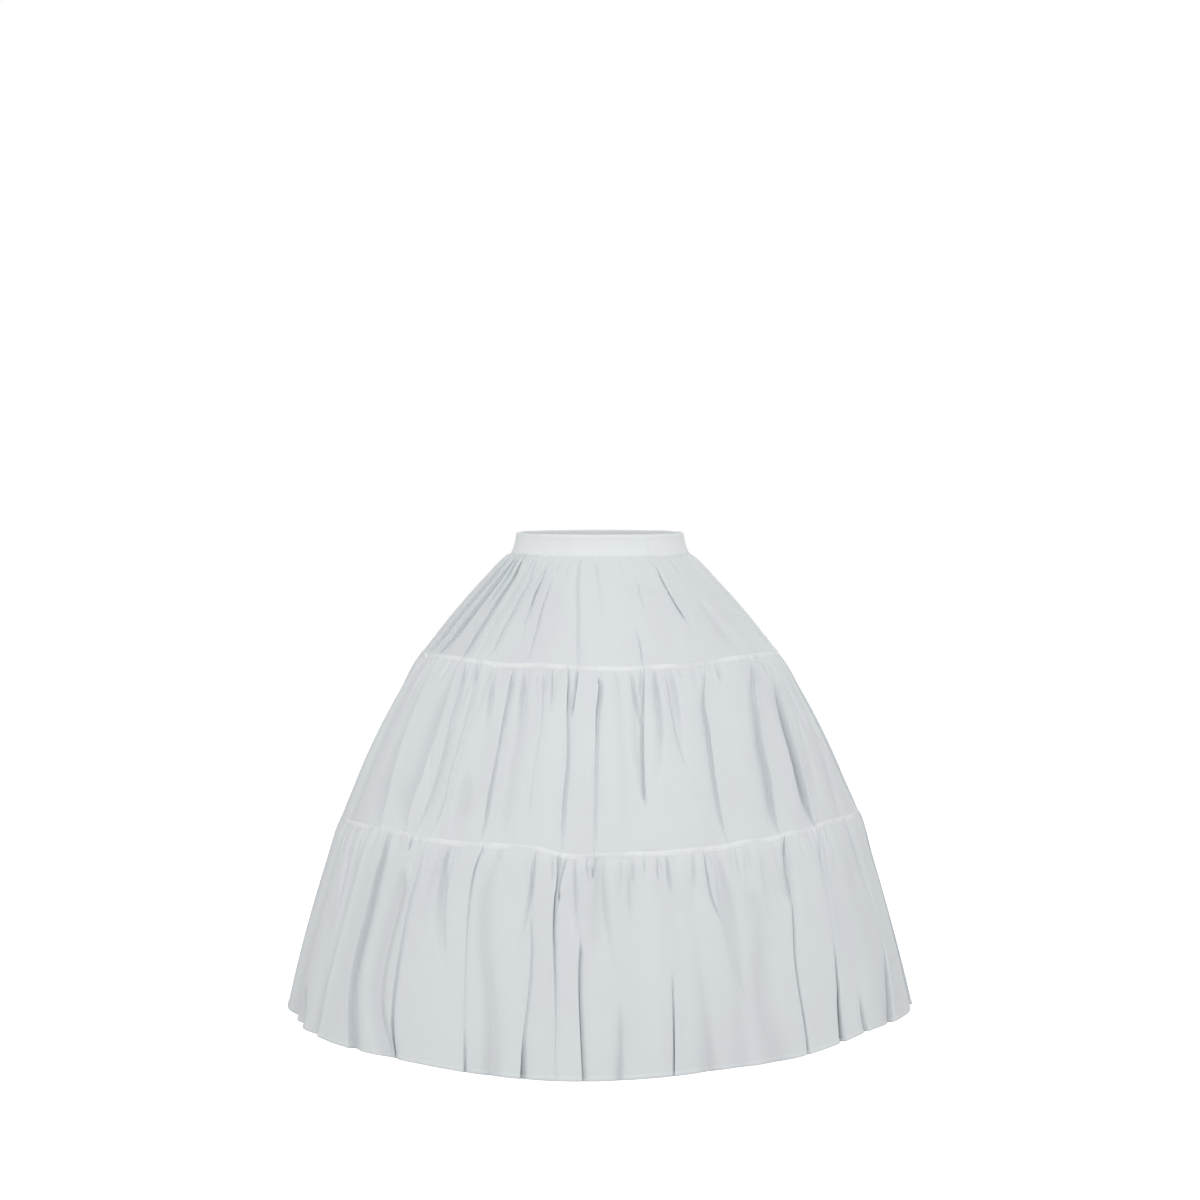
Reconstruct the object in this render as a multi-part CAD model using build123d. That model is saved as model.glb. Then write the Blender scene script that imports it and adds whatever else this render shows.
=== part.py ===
from build123d import *

from math import atan2, cos, degrees, hypot, pi, sin, sqrt, tau
import os

# Hooped petticoat: a gathered three-tier cloth skirt over a cage of three hoops.
# An elastic waistband carries the upper tier, and each lower tier is gathered to
# the edge of the one above. Inside each seam, and just above the hem, a cloth
# casing holds a flat hoop, whose ends meet in a sleeve at the centre back. Tapes
# run from the waistband to the hem casing and space the hoops.
#
# Millimetres. +Z is up, the front faces -Y, and +X is the wearer's left. The
# origin is the centre of the waist opening, level with the band's top edge.

# Waistband: a folded cloth casing round a flat elastic
waist_width = 207.0
waist_depth = 161.0
band_flare = 6.0
band_cloth = 0.8
elastic_height = 27.0
elastic_thickness = 1.4
elastic_slip = 0.25

# Skirt: seam heights below the waist, and the radius of each seam and the hem
upper_seam_drop = 158.0
middle_seam_drop = 363.0
hem_drop = 605.0
upper_seam_radius = 228.0
middle_seam_radius = 331.0
hem_radius = 393.0
cloth = 1.0

# Gathers: within gather_run of a seam they open from seam_fold to their full depth.
# Each tier has its number of folds, their depth, and how far the tier bows out.
gather_run = 18.0
seam_fold = 2.0
upper_fold_count = 40
upper_phase = 0.4
upper_fold_top = 9.0
upper_fold_middle = 8.0
upper_bow = 4.0
middle_fold_count = 46
middle_phase = 1.1
middle_fold_top = 7.0
middle_fold_middle = 13.0
middle_bow = 7.0
lower_fold_count = 44
lower_phase = 2.6
lower_fold_top = 8.0
lower_fold_middle = 19.0
lower_fold_hem = 24.0
lower_bow = 5.0

# Hoops: a flat strip, the cloth casing round it, and the sleeve that joins its ends
hoop_height = 8.0
hoop_thickness = 1.6
hoop_end_gap = 2.0
casing_cloth = 0.8
casing_slip = 0.25
casing_margin = 2.0
sleeve_length = 40.0
sleeve_wall = 1.0
sleeve_slip = 0.15
casing_opening_margin = 3.0
hem_hoop_rise = 30.0

# Tapes: flat strips that hang the hoops from the waistband
tape_count = 8
tape_width = 20.0
tape_thickness = 0.8
tape_on_band = 15.0
tape_tail = 4.0
tape_sag_allowance = 1.5

# Air between a soft piece and what it is sewn to
seat_gap = 0.3

# One gather, valley to valley: how far along it each point is, and how far out
fold_profile = ((0.0, 0.0), (0.17, 0.68), (0.5, 1.0), (0.83, 0.68))
# How much the gathers vary in width and depth, and how fast each changes from fold to fold
fold_width_variation = 0.24
fold_width_beat = 2.3
fold_depth_variation = 0.22
fold_depth_beat = 1.7

band_thickness = elastic_thickness + 2 * (elastic_slip + band_cloth)
band_height = elastic_height + 2 * (elastic_slip + band_cloth)
band_fold = band_thickness - cloth - 2 * seat_gap
casing_thickness = hoop_thickness + 2 * (casing_slip + casing_cloth)
casing_height = hoop_height + 2 * (casing_slip + casing_cloth) + casing_margin
sleeve_thickness = hoop_thickness + 2 * (sleeve_slip + sleeve_wall)
sleeve_height = hoop_height + 2 * (sleeve_slip + sleeve_wall)
back = pi / 2


def band_half(z, inset=0.0):
    """Half width and half depth of the band's inner face at height z, grown by inset."""
    flare = band_flare * min(1.0, -z / band_height)
    return waist_width / 2 + flare + inset, waist_depth / 2 + flare + inset


def oval_ring(z_top, z_bottom, inner, outer):
    """A ring that follows the band between two insets from its inner face."""
    def solid(inset):
        rims = []
        for z in (z_top, z_bottom):
            half_width, half_depth = band_half(z, inset)
            rim = Plane(origin=(0, 0, z)) * Ellipse(half_width, half_depth)
            rims.append(rim.face().outer_wire())
        return Solid.make_loft(rims, ruled=True)
    return solid(outer) - solid(inner)


def waistband():
    """The folded band, hollow where the elastic lies."""
    tunnel = oval_ring(-band_cloth, band_cloth - band_height, band_cloth, band_thickness - band_cloth)
    return oval_ring(0.0, -band_height, 0.0, band_thickness) - tunnel


def waist_elastic():
    """The flat elastic inside the band."""
    edge = band_cloth + elastic_slip
    return oval_ring(-edge, edge - band_height, edge, edge + elastic_thickness)


def gathered_loop(z, valley, depth, folds, phase):
    """Outer points of one level of a tier. valley gives the half sizes at the bottom of the folds."""
    half_width, half_depth = valley
    points = []
    for fold in range(folds):
        following = (fold + 1) % folds
        start = fold + fold_width_variation * sin(fold_width_beat * fold + phase)
        end = fold + 1 + fold_width_variation * sin(fold_width_beat * following + phase)
        here = depth * (1 - fold_depth_variation * (1 + sin(fold_depth_beat * fold + phase)) / 2)
        for along, out in fold_profile:
            angle = tau * (start + (end - start) * along) / folds
            points.append((
                (half_width + here * out) * cos(angle),
                (half_depth + here * out) * sin(angle),
                z,
            ))
    return points


def inside(loop):
    """The same level's inner points, one cloth thickness in from each outer point."""
    points = []
    for before, here, after in zip(loop[-1:] + loop[:-1], loop, loop[1:] + loop[:1]):
        along = (after[0] - before[0], after[1] - before[1])
        length = hypot(*along)
        points.append((here[0] - cloth * along[1] / length, here[1] + cloth * along[0] / length, here[2]))
    return points


def outline(points):
    return Wire.make_polygon(points, close=True)


def facets(left, right):
    """Flat three-sided faces between two lines of points that run down side by side."""
    faces = []
    for i in range(len(left) - 1):
        faces.append(Face(outline([left[i], right[i], right[i + 1]])))
        faces.append(Face(outline([left[i], right[i + 1], left[i + 1]])))
    return faces


def skin(loops):
    """Facets all round a wall, between each closed loop of points and the next one down."""
    columns = list(zip(*loops))
    faces = []
    for here, beside in zip(columns, columns[1:] + columns[:1]):
        faces += facets(here, beside)
    return faces


def gathered_tier(levels, folds, phase):
    """A closed wall of cloth through several levels, each with (z, valley half sizes, fold depth)."""
    outer = [gathered_loop(z, valley, depth, folds, phase) for z, valley, depth in levels]
    inner = [inside(loop) for loop in outer]
    rims = [Face(outline(outer[level]), [outline(inner[level])]) for level in (0, -1)]
    return Solid(Shell(skin(outer) + skin(inner) + rims))


def between(first, second, share):
    """A value part of the way from first to second."""
    return first + (second - first) * share


def tier_levels(start_drop, start, end_drop, end, bow, depths):
    """Height, valley half sizes and fold depth at the four levels of a tier.

    start and end are half sizes to the middle of the folds at the tier's two edges.
    """
    drop = end_drop - start_drop
    levels = []
    for share, depth in zip((0.0, gather_run / drop, 0.5, 1.0), depths):
        swell = 4 * bow * share * (1 - share)
        valley = [between(a, b, share) + swell - depth / 2 for a, b in zip(start, end)]
        levels.append((-start_drop - share * drop, valley, depth))
    return levels


def round_edge(radius, fold):
    """Half sizes to the middle of folds whose crests reach a seam's radius."""
    return radius - fold / 2, radius - fold / 2


upper_levels = tier_levels(
    band_height, band_half(-band_height, band_thickness / 2 + cloth / 2),
    upper_seam_drop, (upper_seam_radius, upper_seam_radius),
    upper_bow, (band_fold, upper_fold_top, upper_fold_middle, 0.0),
)
middle_levels = tier_levels(
    upper_seam_drop, round_edge(upper_seam_radius, seam_fold),
    middle_seam_drop, (middle_seam_radius, middle_seam_radius),
    middle_bow, (seam_fold, middle_fold_top, middle_fold_middle, 0.0),
)
lower_levels = tier_levels(
    middle_seam_drop, round_edge(middle_seam_radius, seam_fold),
    hem_drop, (hem_radius, hem_radius),
    lower_bow, (seam_fold, lower_fold_top, lower_fold_middle, lower_fold_hem),
)


def wall_radius(levels, z):
    """Inner radius of a round tier's fold valleys at height z."""
    for (z_above, above, _), (z_below, below, _) in zip(levels[:-1], levels[1:]):
        if z_below <= z <= z_above:
            share = (z_above - z) / (z_above - z_below)
            return between(above[0], below[0], share) - cloth
    raise ValueError("height outside the tier")


class HoopPlace:
    """Where one hoop lies: its radius and the heights of its casing.

    The radius is to the middle of the strip, where casing and sleeve both clear the tier.
    """

    def __init__(self, name, levels, casing_top):
        self.name = name
        self.radius = wall_radius(levels, casing_top) - seat_gap - max(casing_thickness, sleeve_thickness) / 2
        self.top = casing_top
        self.bottom = casing_top - casing_height
        self.middle = casing_top - casing_height / 2


hoop_places = (
    HoopPlace("upper", middle_levels, -upper_seam_drop),
    HoopPlace("middle", lower_levels, -middle_seam_drop),
    HoopPlace("hem", lower_levels, hem_hoop_rise + casing_height / 2 - hem_drop),
)


def bent_round(place, section, length, centre):
    """A section swept round the hoop's circle, centred on an angle."""
    turn = length / place.radius
    bar = revolve(Plane.XZ * Location((place.radius, place.middle)) * section, Axis.Z, degrees(turn))
    return bar.rotate(Axis.Z, degrees(centre - turn / 2))


def strip_tunnel(slip):
    """The strip's section with a slip all round it."""
    return Rectangle(hoop_thickness + 2 * slip, hoop_height + 2 * slip)


def hoop(place):
    """The flat strip, open by a small gap at the centre back."""
    length = tau * place.radius - hoop_end_gap
    return bent_round(place, strip_tunnel(0.0), length, back + pi)


def casing(place):
    """The cloth tube round the strip, left open at the centre back for the sleeve."""
    length = tau * place.radius - sleeve_length - 2 * casing_opening_margin
    section = Rectangle(casing_thickness, casing_height) - strip_tunnel(casing_slip)
    return bent_round(place, section, length, back + pi)


def sleeve(place):
    """The short tube over the strip's two ends."""
    section = Rectangle(sleeve_thickness, sleeve_height) - strip_tunnel(sleeve_slip)
    return bent_round(place, section, sleeve_length, back)


def tape_corners(x, y, z, facing):
    """The four corners of a level cut through a tape, the outer pair first.

    The outer face looks along facing and passes through x, y.
    """
    out = (cos(facing), sin(facing))
    side = (-out[1], out[0])
    corners = []
    for across, inward in ((-1, 0), (1, 0), (-1, 1), (1, 1)):
        corners.append((
            x + across * side[0] * tape_width / 2 - inward * out[0] * tape_thickness,
            y + across * side[1] * tape_width / 2 - inward * out[1] * tape_thickness,
            z,
        ))
    return corners


def tape(angle):
    """One tape: up the band's inner face, then down inside the three casings."""
    sections = []
    for z in (tape_on_band - band_height, -band_height):
        half_width, half_depth = band_half(z, -seat_gap)
        turn = atan2(sin(angle) / half_depth, cos(angle) / half_width)
        facing = atan2(half_width * sin(turn), half_depth * cos(turn))
        x, y = half_width * cos(turn), half_depth * sin(turn)
        curve = hypot(half_depth * cos(turn), half_width * sin(turn)) ** 3 / (half_width * half_depth)
        sag = tape_sag_allowance * (curve - sqrt(curve ** 2 - (tape_width / 2) ** 2))
        sections.append(tape_corners(x - sag * cos(facing), y - sag * sin(facing), z, facing))
    for place in hoop_places:
        seat = place.radius - casing_thickness / 2 - seat_gap
        out = sqrt(seat ** 2 - (tape_width / 2) ** 2)
        tail = tape_tail if place is hoop_places[-1] else 0.0
        for z in (place.top, place.bottom - tail):
            sections.append(tape_corners(out * cos(angle), out * sin(angle), z, angle))
    outer_left, outer_right, inner_left, inner_right = zip(*sections)
    faces = facets(outer_left, outer_right) + facets(inner_left, inner_right)
    faces += facets(outer_left, inner_left) + facets(outer_right, inner_right)
    for end in (0, -1):
        faces.append(Face(outline([outer_left[end], outer_right[end], inner_right[end], inner_left[end]])))
    return Solid(Shell(faces))


def write(name, shape):
    export_step(shape, f"parts/{name}.step")
    print(name, round(shape.volume), shape.is_valid)


def main():
    os.makedirs("parts", exist_ok=True)
    write("waistband", waistband())
    write("waist_elastic", waist_elastic())
    write("upper_tier", gathered_tier(upper_levels, upper_fold_count, upper_phase))
    write("middle_tier", gathered_tier(middle_levels, middle_fold_count, middle_phase))
    write("lower_tier", gathered_tier(lower_levels, lower_fold_count, lower_phase))
    for place in hoop_places:
        write(f"{place.name}_casing", casing(place))
        write(f"{place.name}_hoop", hoop(place))
        write(f"{place.name}_sleeve", sleeve(place))
    for number in range(tape_count):
        angle = tau * (number + 0.5) / tape_count
        write(f"tape_{number + 1}", tape(angle))


main()
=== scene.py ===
"""A white hooped petticoat: three gathered tiers on an elastic band, over a cage of hoops.

Metres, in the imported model's frame: +Z is up, the front faces -Y, and the origin is the centre of
the waist opening. Angles round the skirt start at the front centre and grow towards +X.
"""

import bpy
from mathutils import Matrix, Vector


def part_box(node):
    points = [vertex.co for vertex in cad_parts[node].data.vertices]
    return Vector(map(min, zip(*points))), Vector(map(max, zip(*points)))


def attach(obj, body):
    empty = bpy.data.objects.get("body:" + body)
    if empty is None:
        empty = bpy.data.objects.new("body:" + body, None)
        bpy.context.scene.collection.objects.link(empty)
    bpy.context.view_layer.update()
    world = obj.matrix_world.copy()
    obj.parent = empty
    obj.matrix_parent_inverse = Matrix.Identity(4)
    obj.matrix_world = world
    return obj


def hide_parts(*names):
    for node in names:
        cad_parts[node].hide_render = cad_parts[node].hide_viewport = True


bl_info = {
    "name": "Hooped Tiered Petticoat",
    "version": (1, 0, 0),
    "blender": (4, 5, 0),
    "location": "3D View > Sidebar > Petticoat",
    "description": "Dresses a packed hoop cage with a waistband, three gathered tiers and their seams",
    "category": "Add Mesh",
}

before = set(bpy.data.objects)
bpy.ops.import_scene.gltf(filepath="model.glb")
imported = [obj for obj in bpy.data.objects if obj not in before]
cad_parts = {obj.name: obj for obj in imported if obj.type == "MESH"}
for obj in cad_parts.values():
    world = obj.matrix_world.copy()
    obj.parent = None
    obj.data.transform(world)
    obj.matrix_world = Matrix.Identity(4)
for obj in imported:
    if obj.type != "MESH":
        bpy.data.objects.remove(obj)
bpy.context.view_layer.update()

from dataclasses import dataclass
from math import cos, pi, radians, sin, tau

import bpy
import numpy as np
from mathutils import Vector

BODY = "root"

# The photograph and the camera that took it
PHOTO_PIXELS = 1200
PHOTO_CENTRE_X = 600.5
PHOTO_CENTRE_Y = 600.0
FOCAL_PIXELS = 2400.0
SENSOR_WIDTH = 0.036
CAMERA_DISTANCE = 3.077
CAMERA_HEIGHT = 0.117
CAMERA_PITCH = radians(3.8)
# Past this angle from the front centre the photograph shows nothing
SEEN_ANGLE = radians(82)
# Between these angles the lines read from it are straightened more and more
TURNING_AWAY = radians(42)
FORESHORTENED = radians(64)

# Cloth details that the frame doesn't give
CLOTH = 0.001
BAND_THICKNESS = 0.0035
BAND_FLARE = 0.006
# How much further the band's lower edge springs out, and how far inside that edge the skirt starts
BAND_SPRING = 0.0030
BAND_TUCK = 0.0009
# The gap that each casing leaves at the centre back
CASING_OPENING = 0.046
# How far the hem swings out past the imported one
HEM_SWING = 0.004
# The mesh attribute that says how deep in a fold the cloth lies, which the materials turn into painted
# shade, and the depth that counts as 1
PAINTED_SHADE_DEPTH = "hollow"
DEEP_FOLD = 0.011
# The layer of places on the flat cloth
FLAT_CLOTH = "Cloth"
# The welt's section: how far down from the seam, and how far out from the cloth
WELT_PROFILE = (
    (-0.0044, -0.0004), (-0.0038, 0.0001), (-0.0028, 0.0004), (-0.0014, 0.0007), (0.0, 0.0008),
    (0.0014, 0.0007), (0.0028, 0.0004), (0.0038, 0.0), (0.0044, -0.0007),
)
# A tape's section, in halves of its width and of its thickness: its edges and middle are the thickest
TAPE_SECTION = (
    (-1.0, 0.0), (-0.985, 1.0), (-0.9, 0.8), (-0.5, 0.9), (0.0, 1.0), (0.5, 0.9), (0.9, 0.8),
    (0.985, 1.0), (1.0, 0.0), (0.985, -1.0), (0.5, -0.9), (0.0, -1.0), (-0.5, -0.9), (-0.985, -1.0),
)
HOOP_NAMES = ("upper", "middle", "hem")
TAPE_NAMES = tuple(name for name in sorted(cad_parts) if name.startswith("tape_"))


def half_width(node):
    low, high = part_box(node)
    return (high.x - low.x) / 2


def half_depth(node):
    low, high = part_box(node)
    return (high.y - low.y) / 2


def top_of(node):
    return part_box(node)[1].z


def bottom_of(node):
    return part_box(node)[0].z


# Smooth curves and waves

def smooth_line(at, along, values):
    """A smooth curve through a few points, carried straight on past its ends."""
    along = np.asarray(along, float)
    values = np.asarray(values, float)
    slopes = np.gradient(values, along)
    index = np.clip(np.searchsorted(along, at) - 1, 0, len(along) - 2)
    step = along[index + 1] - along[index]
    beyond = np.where(at < along[0], at - along[0], np.where(at > along[-1], at - along[-1], 0.0))
    t = np.clip((at - along[index]) / step, 0, 1)
    start = (2 * t**3 - 3 * t**2 + 1) * values[index] + (t**3 - 2 * t**2 + t) * step * slopes[index]
    end = (3 * t**2 - 2 * t**3) * values[index + 1] + (t**3 - t**2) * step * slopes[index + 1]
    return start + end + beyond * np.where(at < along[0], slopes[0], slopes[-1])


def ease(low, high, value):
    """0 below low, 1 above high, smooth between."""
    t = np.clip((value - low) / (high - low), 0, 1)
    return t * t * (3 - 2 * t)


def wrapped(angle):
    """An angle brought to between minus and plus half a turn."""
    return (angle + pi) % tau - pi


def crowded(steps, along, density):
    """Places along a line, closer together where it is dense. steps are their shares of the way."""
    total = np.concatenate([[0], np.cumsum((density[1:] + density[:-1]) / 2)])
    return np.interp(steps, total / total[-1], along)


def run_along(points):
    """How far each point of a line lies along it."""
    steps = np.linalg.norm(np.diff(np.asarray(points), axis=0), axis=1)
    return np.concatenate([[0.0], np.cumsum(steps)])


def waves(angle, share, seed, lowest, highest, count):
    """Slow irregular waves round the skirt, between -1 and 1: count of them, lowest to highest a turn."""
    rng = np.random.default_rng(seed)
    total = np.zeros(np.broadcast(angle, share).shape)
    for number in rng.integers(lowest, highest, count):
        phase, drift = rng.uniform(0, tau), rng.uniform(-2.0, 2.0)
        total += np.sin(number * angle + phase + drift * share)
    return total / count


# Folds

LEFT_OVER = 1
RIGHT_OVER = -1
SOFT = 0


@dataclass
class Seen:
    """A fold read from the photograph: the pixels that its line runs through, from the top down.

    lap says which panel lies on top. depth, spread and overlap have values from the top end down: the
    share of the room for folds that it takes, how far the hollow beside it reaches, and how far the
    top panel hangs over, the last two in millimetres. fade is the share of the tier over which each
    end dies away, and slot the part of a lapped fold's depth that lies in a narrow slot at its line.
    """

    pixels: tuple
    lap: int
    depth: tuple
    spread: tuple
    overlap: tuple = (3, 3)
    fade: tuple = (0, 0)
    slot: float = 0.55


@dataclass
class Crease:
    """A fold line down a tier, by share of the way down and angle, with its lengths in metres."""

    shares: np.ndarray
    angles: np.ndarray
    lap: int
    depth: tuple
    spread: tuple
    overlap: tuple
    fade: tuple
    slot: float = 0.0

    def along(self, share):
        return np.clip((share - self.shares[0]) / (self.shares[-1] - self.shares[0]), 0, 1)

    def angle(self, share):
        carried_on = 0.05
        reached = np.clip(share, self.shares[0] - carried_on, self.shares[-1] + carried_on)
        return smooth_line(reached, self.shares, self.angles)

    def strength(self, share):
        """How much of the fold there is at this height, with its ends faded out."""
        return self.between(share, self.depth) * self.faded(share, 1.0)

    def between(self, share, values):
        return np.interp(self.along(share), np.linspace(0, 1, len(values)), values)

    def faded(self, share, reach):
        """From 0 at a faded end to 1 where the fold is whole, which a longer reach puts further in."""
        first, last = self.shares[0], self.shares[-1]
        level = np.ones_like(share)
        if self.fade[0]:
            level = level * ease(first, first + reach * self.fade[0], share)
        if self.fade[1]:
            level = level * (1 - ease(last - reach * self.fade[1], last, share))
        return level


class Tier:
    """The smooth form of one tier, and the folds in it.

    share runs from 0 at the tier's top edge to 1 at its bottom edge. Where a method takes angles and
    shares, angles has one row for each share. start and end are half the width and depth of the two
    edges, bow and puff swell the form out halfway down and just below the seam, and room gives the
    depth that folds can take at shares of the way down.
    """

    closed_below = True
    # The shares of the tier in which the puff below the seam comes up and the folds widen
    puff_run = 0.04
    funnel = 0.25
    # A fold's width where the seam gathers it and at its own faded end, as shares of its full width
    gathered_width = 0.4
    faded_width = 0.3
    # How far down the seam above holds the folds' edges, and from where the one below does
    held_to = 0.08
    held_from = 0.93
    # How steeply hollows fall away: soft folds, lapped ones, and how narrow a lapped fold's slot is
    soft_fall = 1.7
    lapped_fall = 1.5
    slot_width = 0.38
    # A lapped fold's edge: the width of its turn, how far it stands out, and how much more at a seam
    step = 0.0030
    lip = 0.0011
    seam_lip = 0.0010
    lip_width = 0.0055
    # How far the seam above goes on shaping the cloth
    seam_run = 0.02
    streak_depth = 0.0004

    def __init__(self, top, bottom, start, end, bow, puff, room, waviness, seed):
        self.top = top
        self.bottom = bottom
        self.start = np.array(start)
        self.end = np.array(end)
        self.bow = bow
        self.puff = puff
        self.room_shares, self.room_depths = zip(*room)
        self.waviness = waviness
        self.seed = seed
        self.creases = []
        self.seam_above = None
        self.top_rise = None
        self.bottom_rise = None

    def half_sizes(self, share):
        """Half the width and half the depth of the smooth form."""
        bowed = 4 * self.bow * share * (1 - share)
        puffed = self.puff * (1 - np.exp(-share / self.puff_run)) * (1 - share) ** 2
        swell = bowed + puffed
        return [self.start[i] + (self.end[i] - self.start[i]) * share + swell for i in (0, 1)]

    def height(self, angle, share):
        level = self.top + (self.bottom - self.top) * share
        if self.top_rise is not None:
            level = level + self.top_rise(angle) * (1 - share) ** 2
        if self.bottom_rise is not None:
            level = level + self.bottom_rise(angle) * share**2
        return level

    def slant(self):
        """The length of the tier from edge to edge, down its slope."""
        run = float(np.mean(self.end - self.start))
        return float(np.hypot(run, self.top - self.bottom))

    def room(self, share):
        return smooth_line(share, self.room_shares, self.room_depths)

    def frame_at(self, angle, share):
        """A point of the smooth form, its outward direction and its direction down the slope."""
        ahead = 0.01
        wide, deep = self.half_sizes(share)
        further = self.half_sizes(share + ahead)
        tilt = np.arctan2((further[0] + further[1] - wide - deep) / 2, (self.top - self.bottom) * ahead)
        across_x, across_y = deep * np.sin(angle), -wide * np.cos(angle)
        norm = np.hypot(across_x, across_y)
        level = np.ones_like(angle)
        away_x, away_y = across_x / norm, across_y / norm
        outward = np.stack([away_x * np.cos(tilt), away_y * np.cos(tilt), np.sin(tilt) * level], axis=-1)
        down = np.stack([away_x * np.sin(tilt), away_y * np.sin(tilt), -np.cos(tilt) * level], axis=-1)
        point = np.stack([
            wide * np.sin(angle), -deep * np.cos(angle), self.height(angle, share) * level,
        ], axis=-1)
        return point, outward, down

    def radius(self, share):
        wide, deep = self.half_sizes(share)
        return (wide + deep) / 2

    def folds(self, angles, shares):
        """How far each point goes in from the smooth form, and how far it slides sideways.

        A lapped fold is a panel's edge, turned under over a width of step, with a hollow that begins at
        full depth beside it. Away from the line, x is positive on the hollow's side.
        """
        hollow, slide, lift = (np.zeros(angles.shape) for _ in range(3))
        funnel = self.gathered_width + (1 - self.gathered_width) * ease(0.0, self.funnel, shares)
        inside = ease(0.0, self.held_to, shares)
        if self.closed_below:
            inside = inside * (1 - ease(self.held_from, 1.0, shares))
        radius = self.radius(shares)
        for crease in self.creases:
            strength = crease.strength(shares)
            taper = crease.faded(shares, 1.4)
            narrowed = self.faded_width + (1 - self.faded_width) * taper
            spread = crease.between(shares, crease.spread) * narrowed * funnel
            away = (crease.lap or 1) * wrapped(angles - crease.angle(shares)[:, None]) * radius[:, None]
            near = (np.abs(away) < 5 * spread[:, None] + 0.012) & (strength[:, None] > 0.001)
            row, column = np.nonzero(near)
            x = away[row, column]
            if crease.lap == SOFT:
                hollow[row, column] += strength[row] * np.exp(-np.abs(x / spread[row]) ** self.soft_fall)
                continue
            panel = ease(-self.step, 0.0, x)
            reach = np.maximum(x, 0) / spread[row]
            wide = np.exp(-(reach / (1 + 0.6 * crease.slot)) ** self.lapped_fall)
            narrow = np.exp(-(reach / self.slot_width) ** self.lapped_fall)
            hollow[row, column] += strength[row] * panel * (crease.slot * narrow + (1 - crease.slot) * wide)
            full = np.minimum(strength, 1.0) * taper
            overlap = crease.between(shares, crease.overlap)
            middle = (x + self.step / 2) / (0.55 * self.step)
            turn = crease.lap * overlap * full * (0.55 + 0.45 * inside)
            slide[row, column] -= turn[row] * middle * np.exp(0.5 - middle**2 / 2)
            raised = full * (self.lip + self.seam_lip * (1 - inside) * overlap / 0.003)
            lift[row, column] += raised[row] * np.exp(-((x + self.step) / self.lip_width) ** 2)
        return self.room(shares)[:, None] * (1 - np.exp(-hollow)) - lift, slide

    def surface(self, angles, shares):
        """The folded cloth: points, outward directions, directions down the slope and fold depths."""
        depth, slide = self.folds(angles, shares)
        share = shares[:, None] * np.ones_like(angles)
        hold = ease(0.0, 0.25, share) * ((1 - ease(0.75, 1.0, share)) if self.closed_below else 1.0)
        swing = 1 + 0.6 * waves(angles, share, self.seed, 4, 19, 7)
        swing = swing + 0.8 * waves(angles, share, self.seed + 1, 20, 48, 9)
        patches = 0.5 + 0.5 * waves(angles, 3 * share, self.seed + 3, 5, 30, 6)
        streaks = waves(angles, 0.4 * share, self.seed + 2, 50, 170, 16) * patches * ease(0.0, 0.06, share)
        depth = depth + self.waviness * swing * hold + self.streak_depth * streaks
        if self.seam_above is not None:
            depth = depth + self.seam_above(angles) * np.exp(-share * self.slant() / self.seam_run)
        point, outward, down = self.frame_at(angles + slide / self.radius(share), share)
        return point - outward * depth[..., None], outward, down, depth

    def columns(self, shares, count):
        """Angles of the columns on each row.

        The same columns follow each lapped fold all the way down, and they lie closer together there.
        Folds that come close to each other, or would cross, are first pushed apart.
        """
        home_share, crowd, crowd_width = 0.5, 4.0, 0.006
        passes, least_gap = 60, 0.35
        lapped = [crease for crease in self.creases if crease.lap]
        paths = np.array([crease.angle(shares) for crease in lapped])
        homes = paths.mean(axis=1)
        order = np.argsort(wrapped(homes))
        paths = paths[order] - (homes - wrapped(homes))[order][:, None]
        homes = wrapped(homes)[order]
        gaps = np.diff(np.append(homes, homes[0] + tau))
        for _ in range(passes):
            ahead = np.concatenate([paths[1:], paths[:1] + tau])
            short = np.maximum(least_gap * gaps[:, None] - (ahead - paths), 0) / 2
            paths = paths - short + np.roll(short, 1, axis=0)
        fine = np.linspace(-pi, pi, 8 * count + 1)
        density = np.ones_like(fine)
        for home, crease in zip(homes, [lapped[index] for index in order]):
            away = crease.lap * wrapped(fine - home) * self.radius(home_share)
            extra = crowd * min(max(crease.depth), 1)
            density += extra * np.exp(-((away + self.step / 2) / crowd_width) ** 2)
        even = crowded(np.arange(count) / count, fine, density)
        return np.array([even + np.interp(even, homes, row - homes, period=tau) for row in paths.T])

    def seen_from(self, pixel_x, pixel_y):
        """The share and angle where the camera's ray through a pixel meets the front of the tier."""
        right = (pixel_x - PHOTO_CENTRE_X) / FOCAL_PIXELS
        up = (PHOTO_CENTRE_Y - pixel_y) / FOCAL_PIXELS
        ahead = np.array([0.0, cos(CAMERA_PITCH), -sin(CAMERA_PITCH)])
        over = np.array([0.0, sin(CAMERA_PITCH), cos(CAMERA_PITCH)])
        ray = ahead + right * np.array([1.0, 0.0, 0.0]) + up * over
        eye = np.array([0.0, -CAMERA_DISTANCE, CAMERA_HEIGHT])
        clear_of_skirt = CAMERA_DISTANCE - 0.5
        halvings = 40
        near, far = clear_of_skirt / ray[1], CAMERA_DISTANCE / ray[1]

        def outside(reach):
            place = eye + reach * ray
            share = (self.top - place[2]) / (self.top - self.bottom)
            level = self.height(np.arctan2(place[0], -place[1]), share)
            share = share + (level - place[2]) / (self.top - self.bottom)
            wide, deep = self.half_sizes(share)
            return (place[0] / wide) ** 2 + (place[1] / deep) ** 2 - 1, share, place, wide, deep

        for _ in range(halvings):
            middle = (near + far) / 2
            if outside(middle)[0] > 0:
                near = middle
            else:
                far = middle
        _, share, place, wide, deep = outside(far)
        return share, np.arctan2(place[0] / wide, -place[1] / deep)

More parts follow.
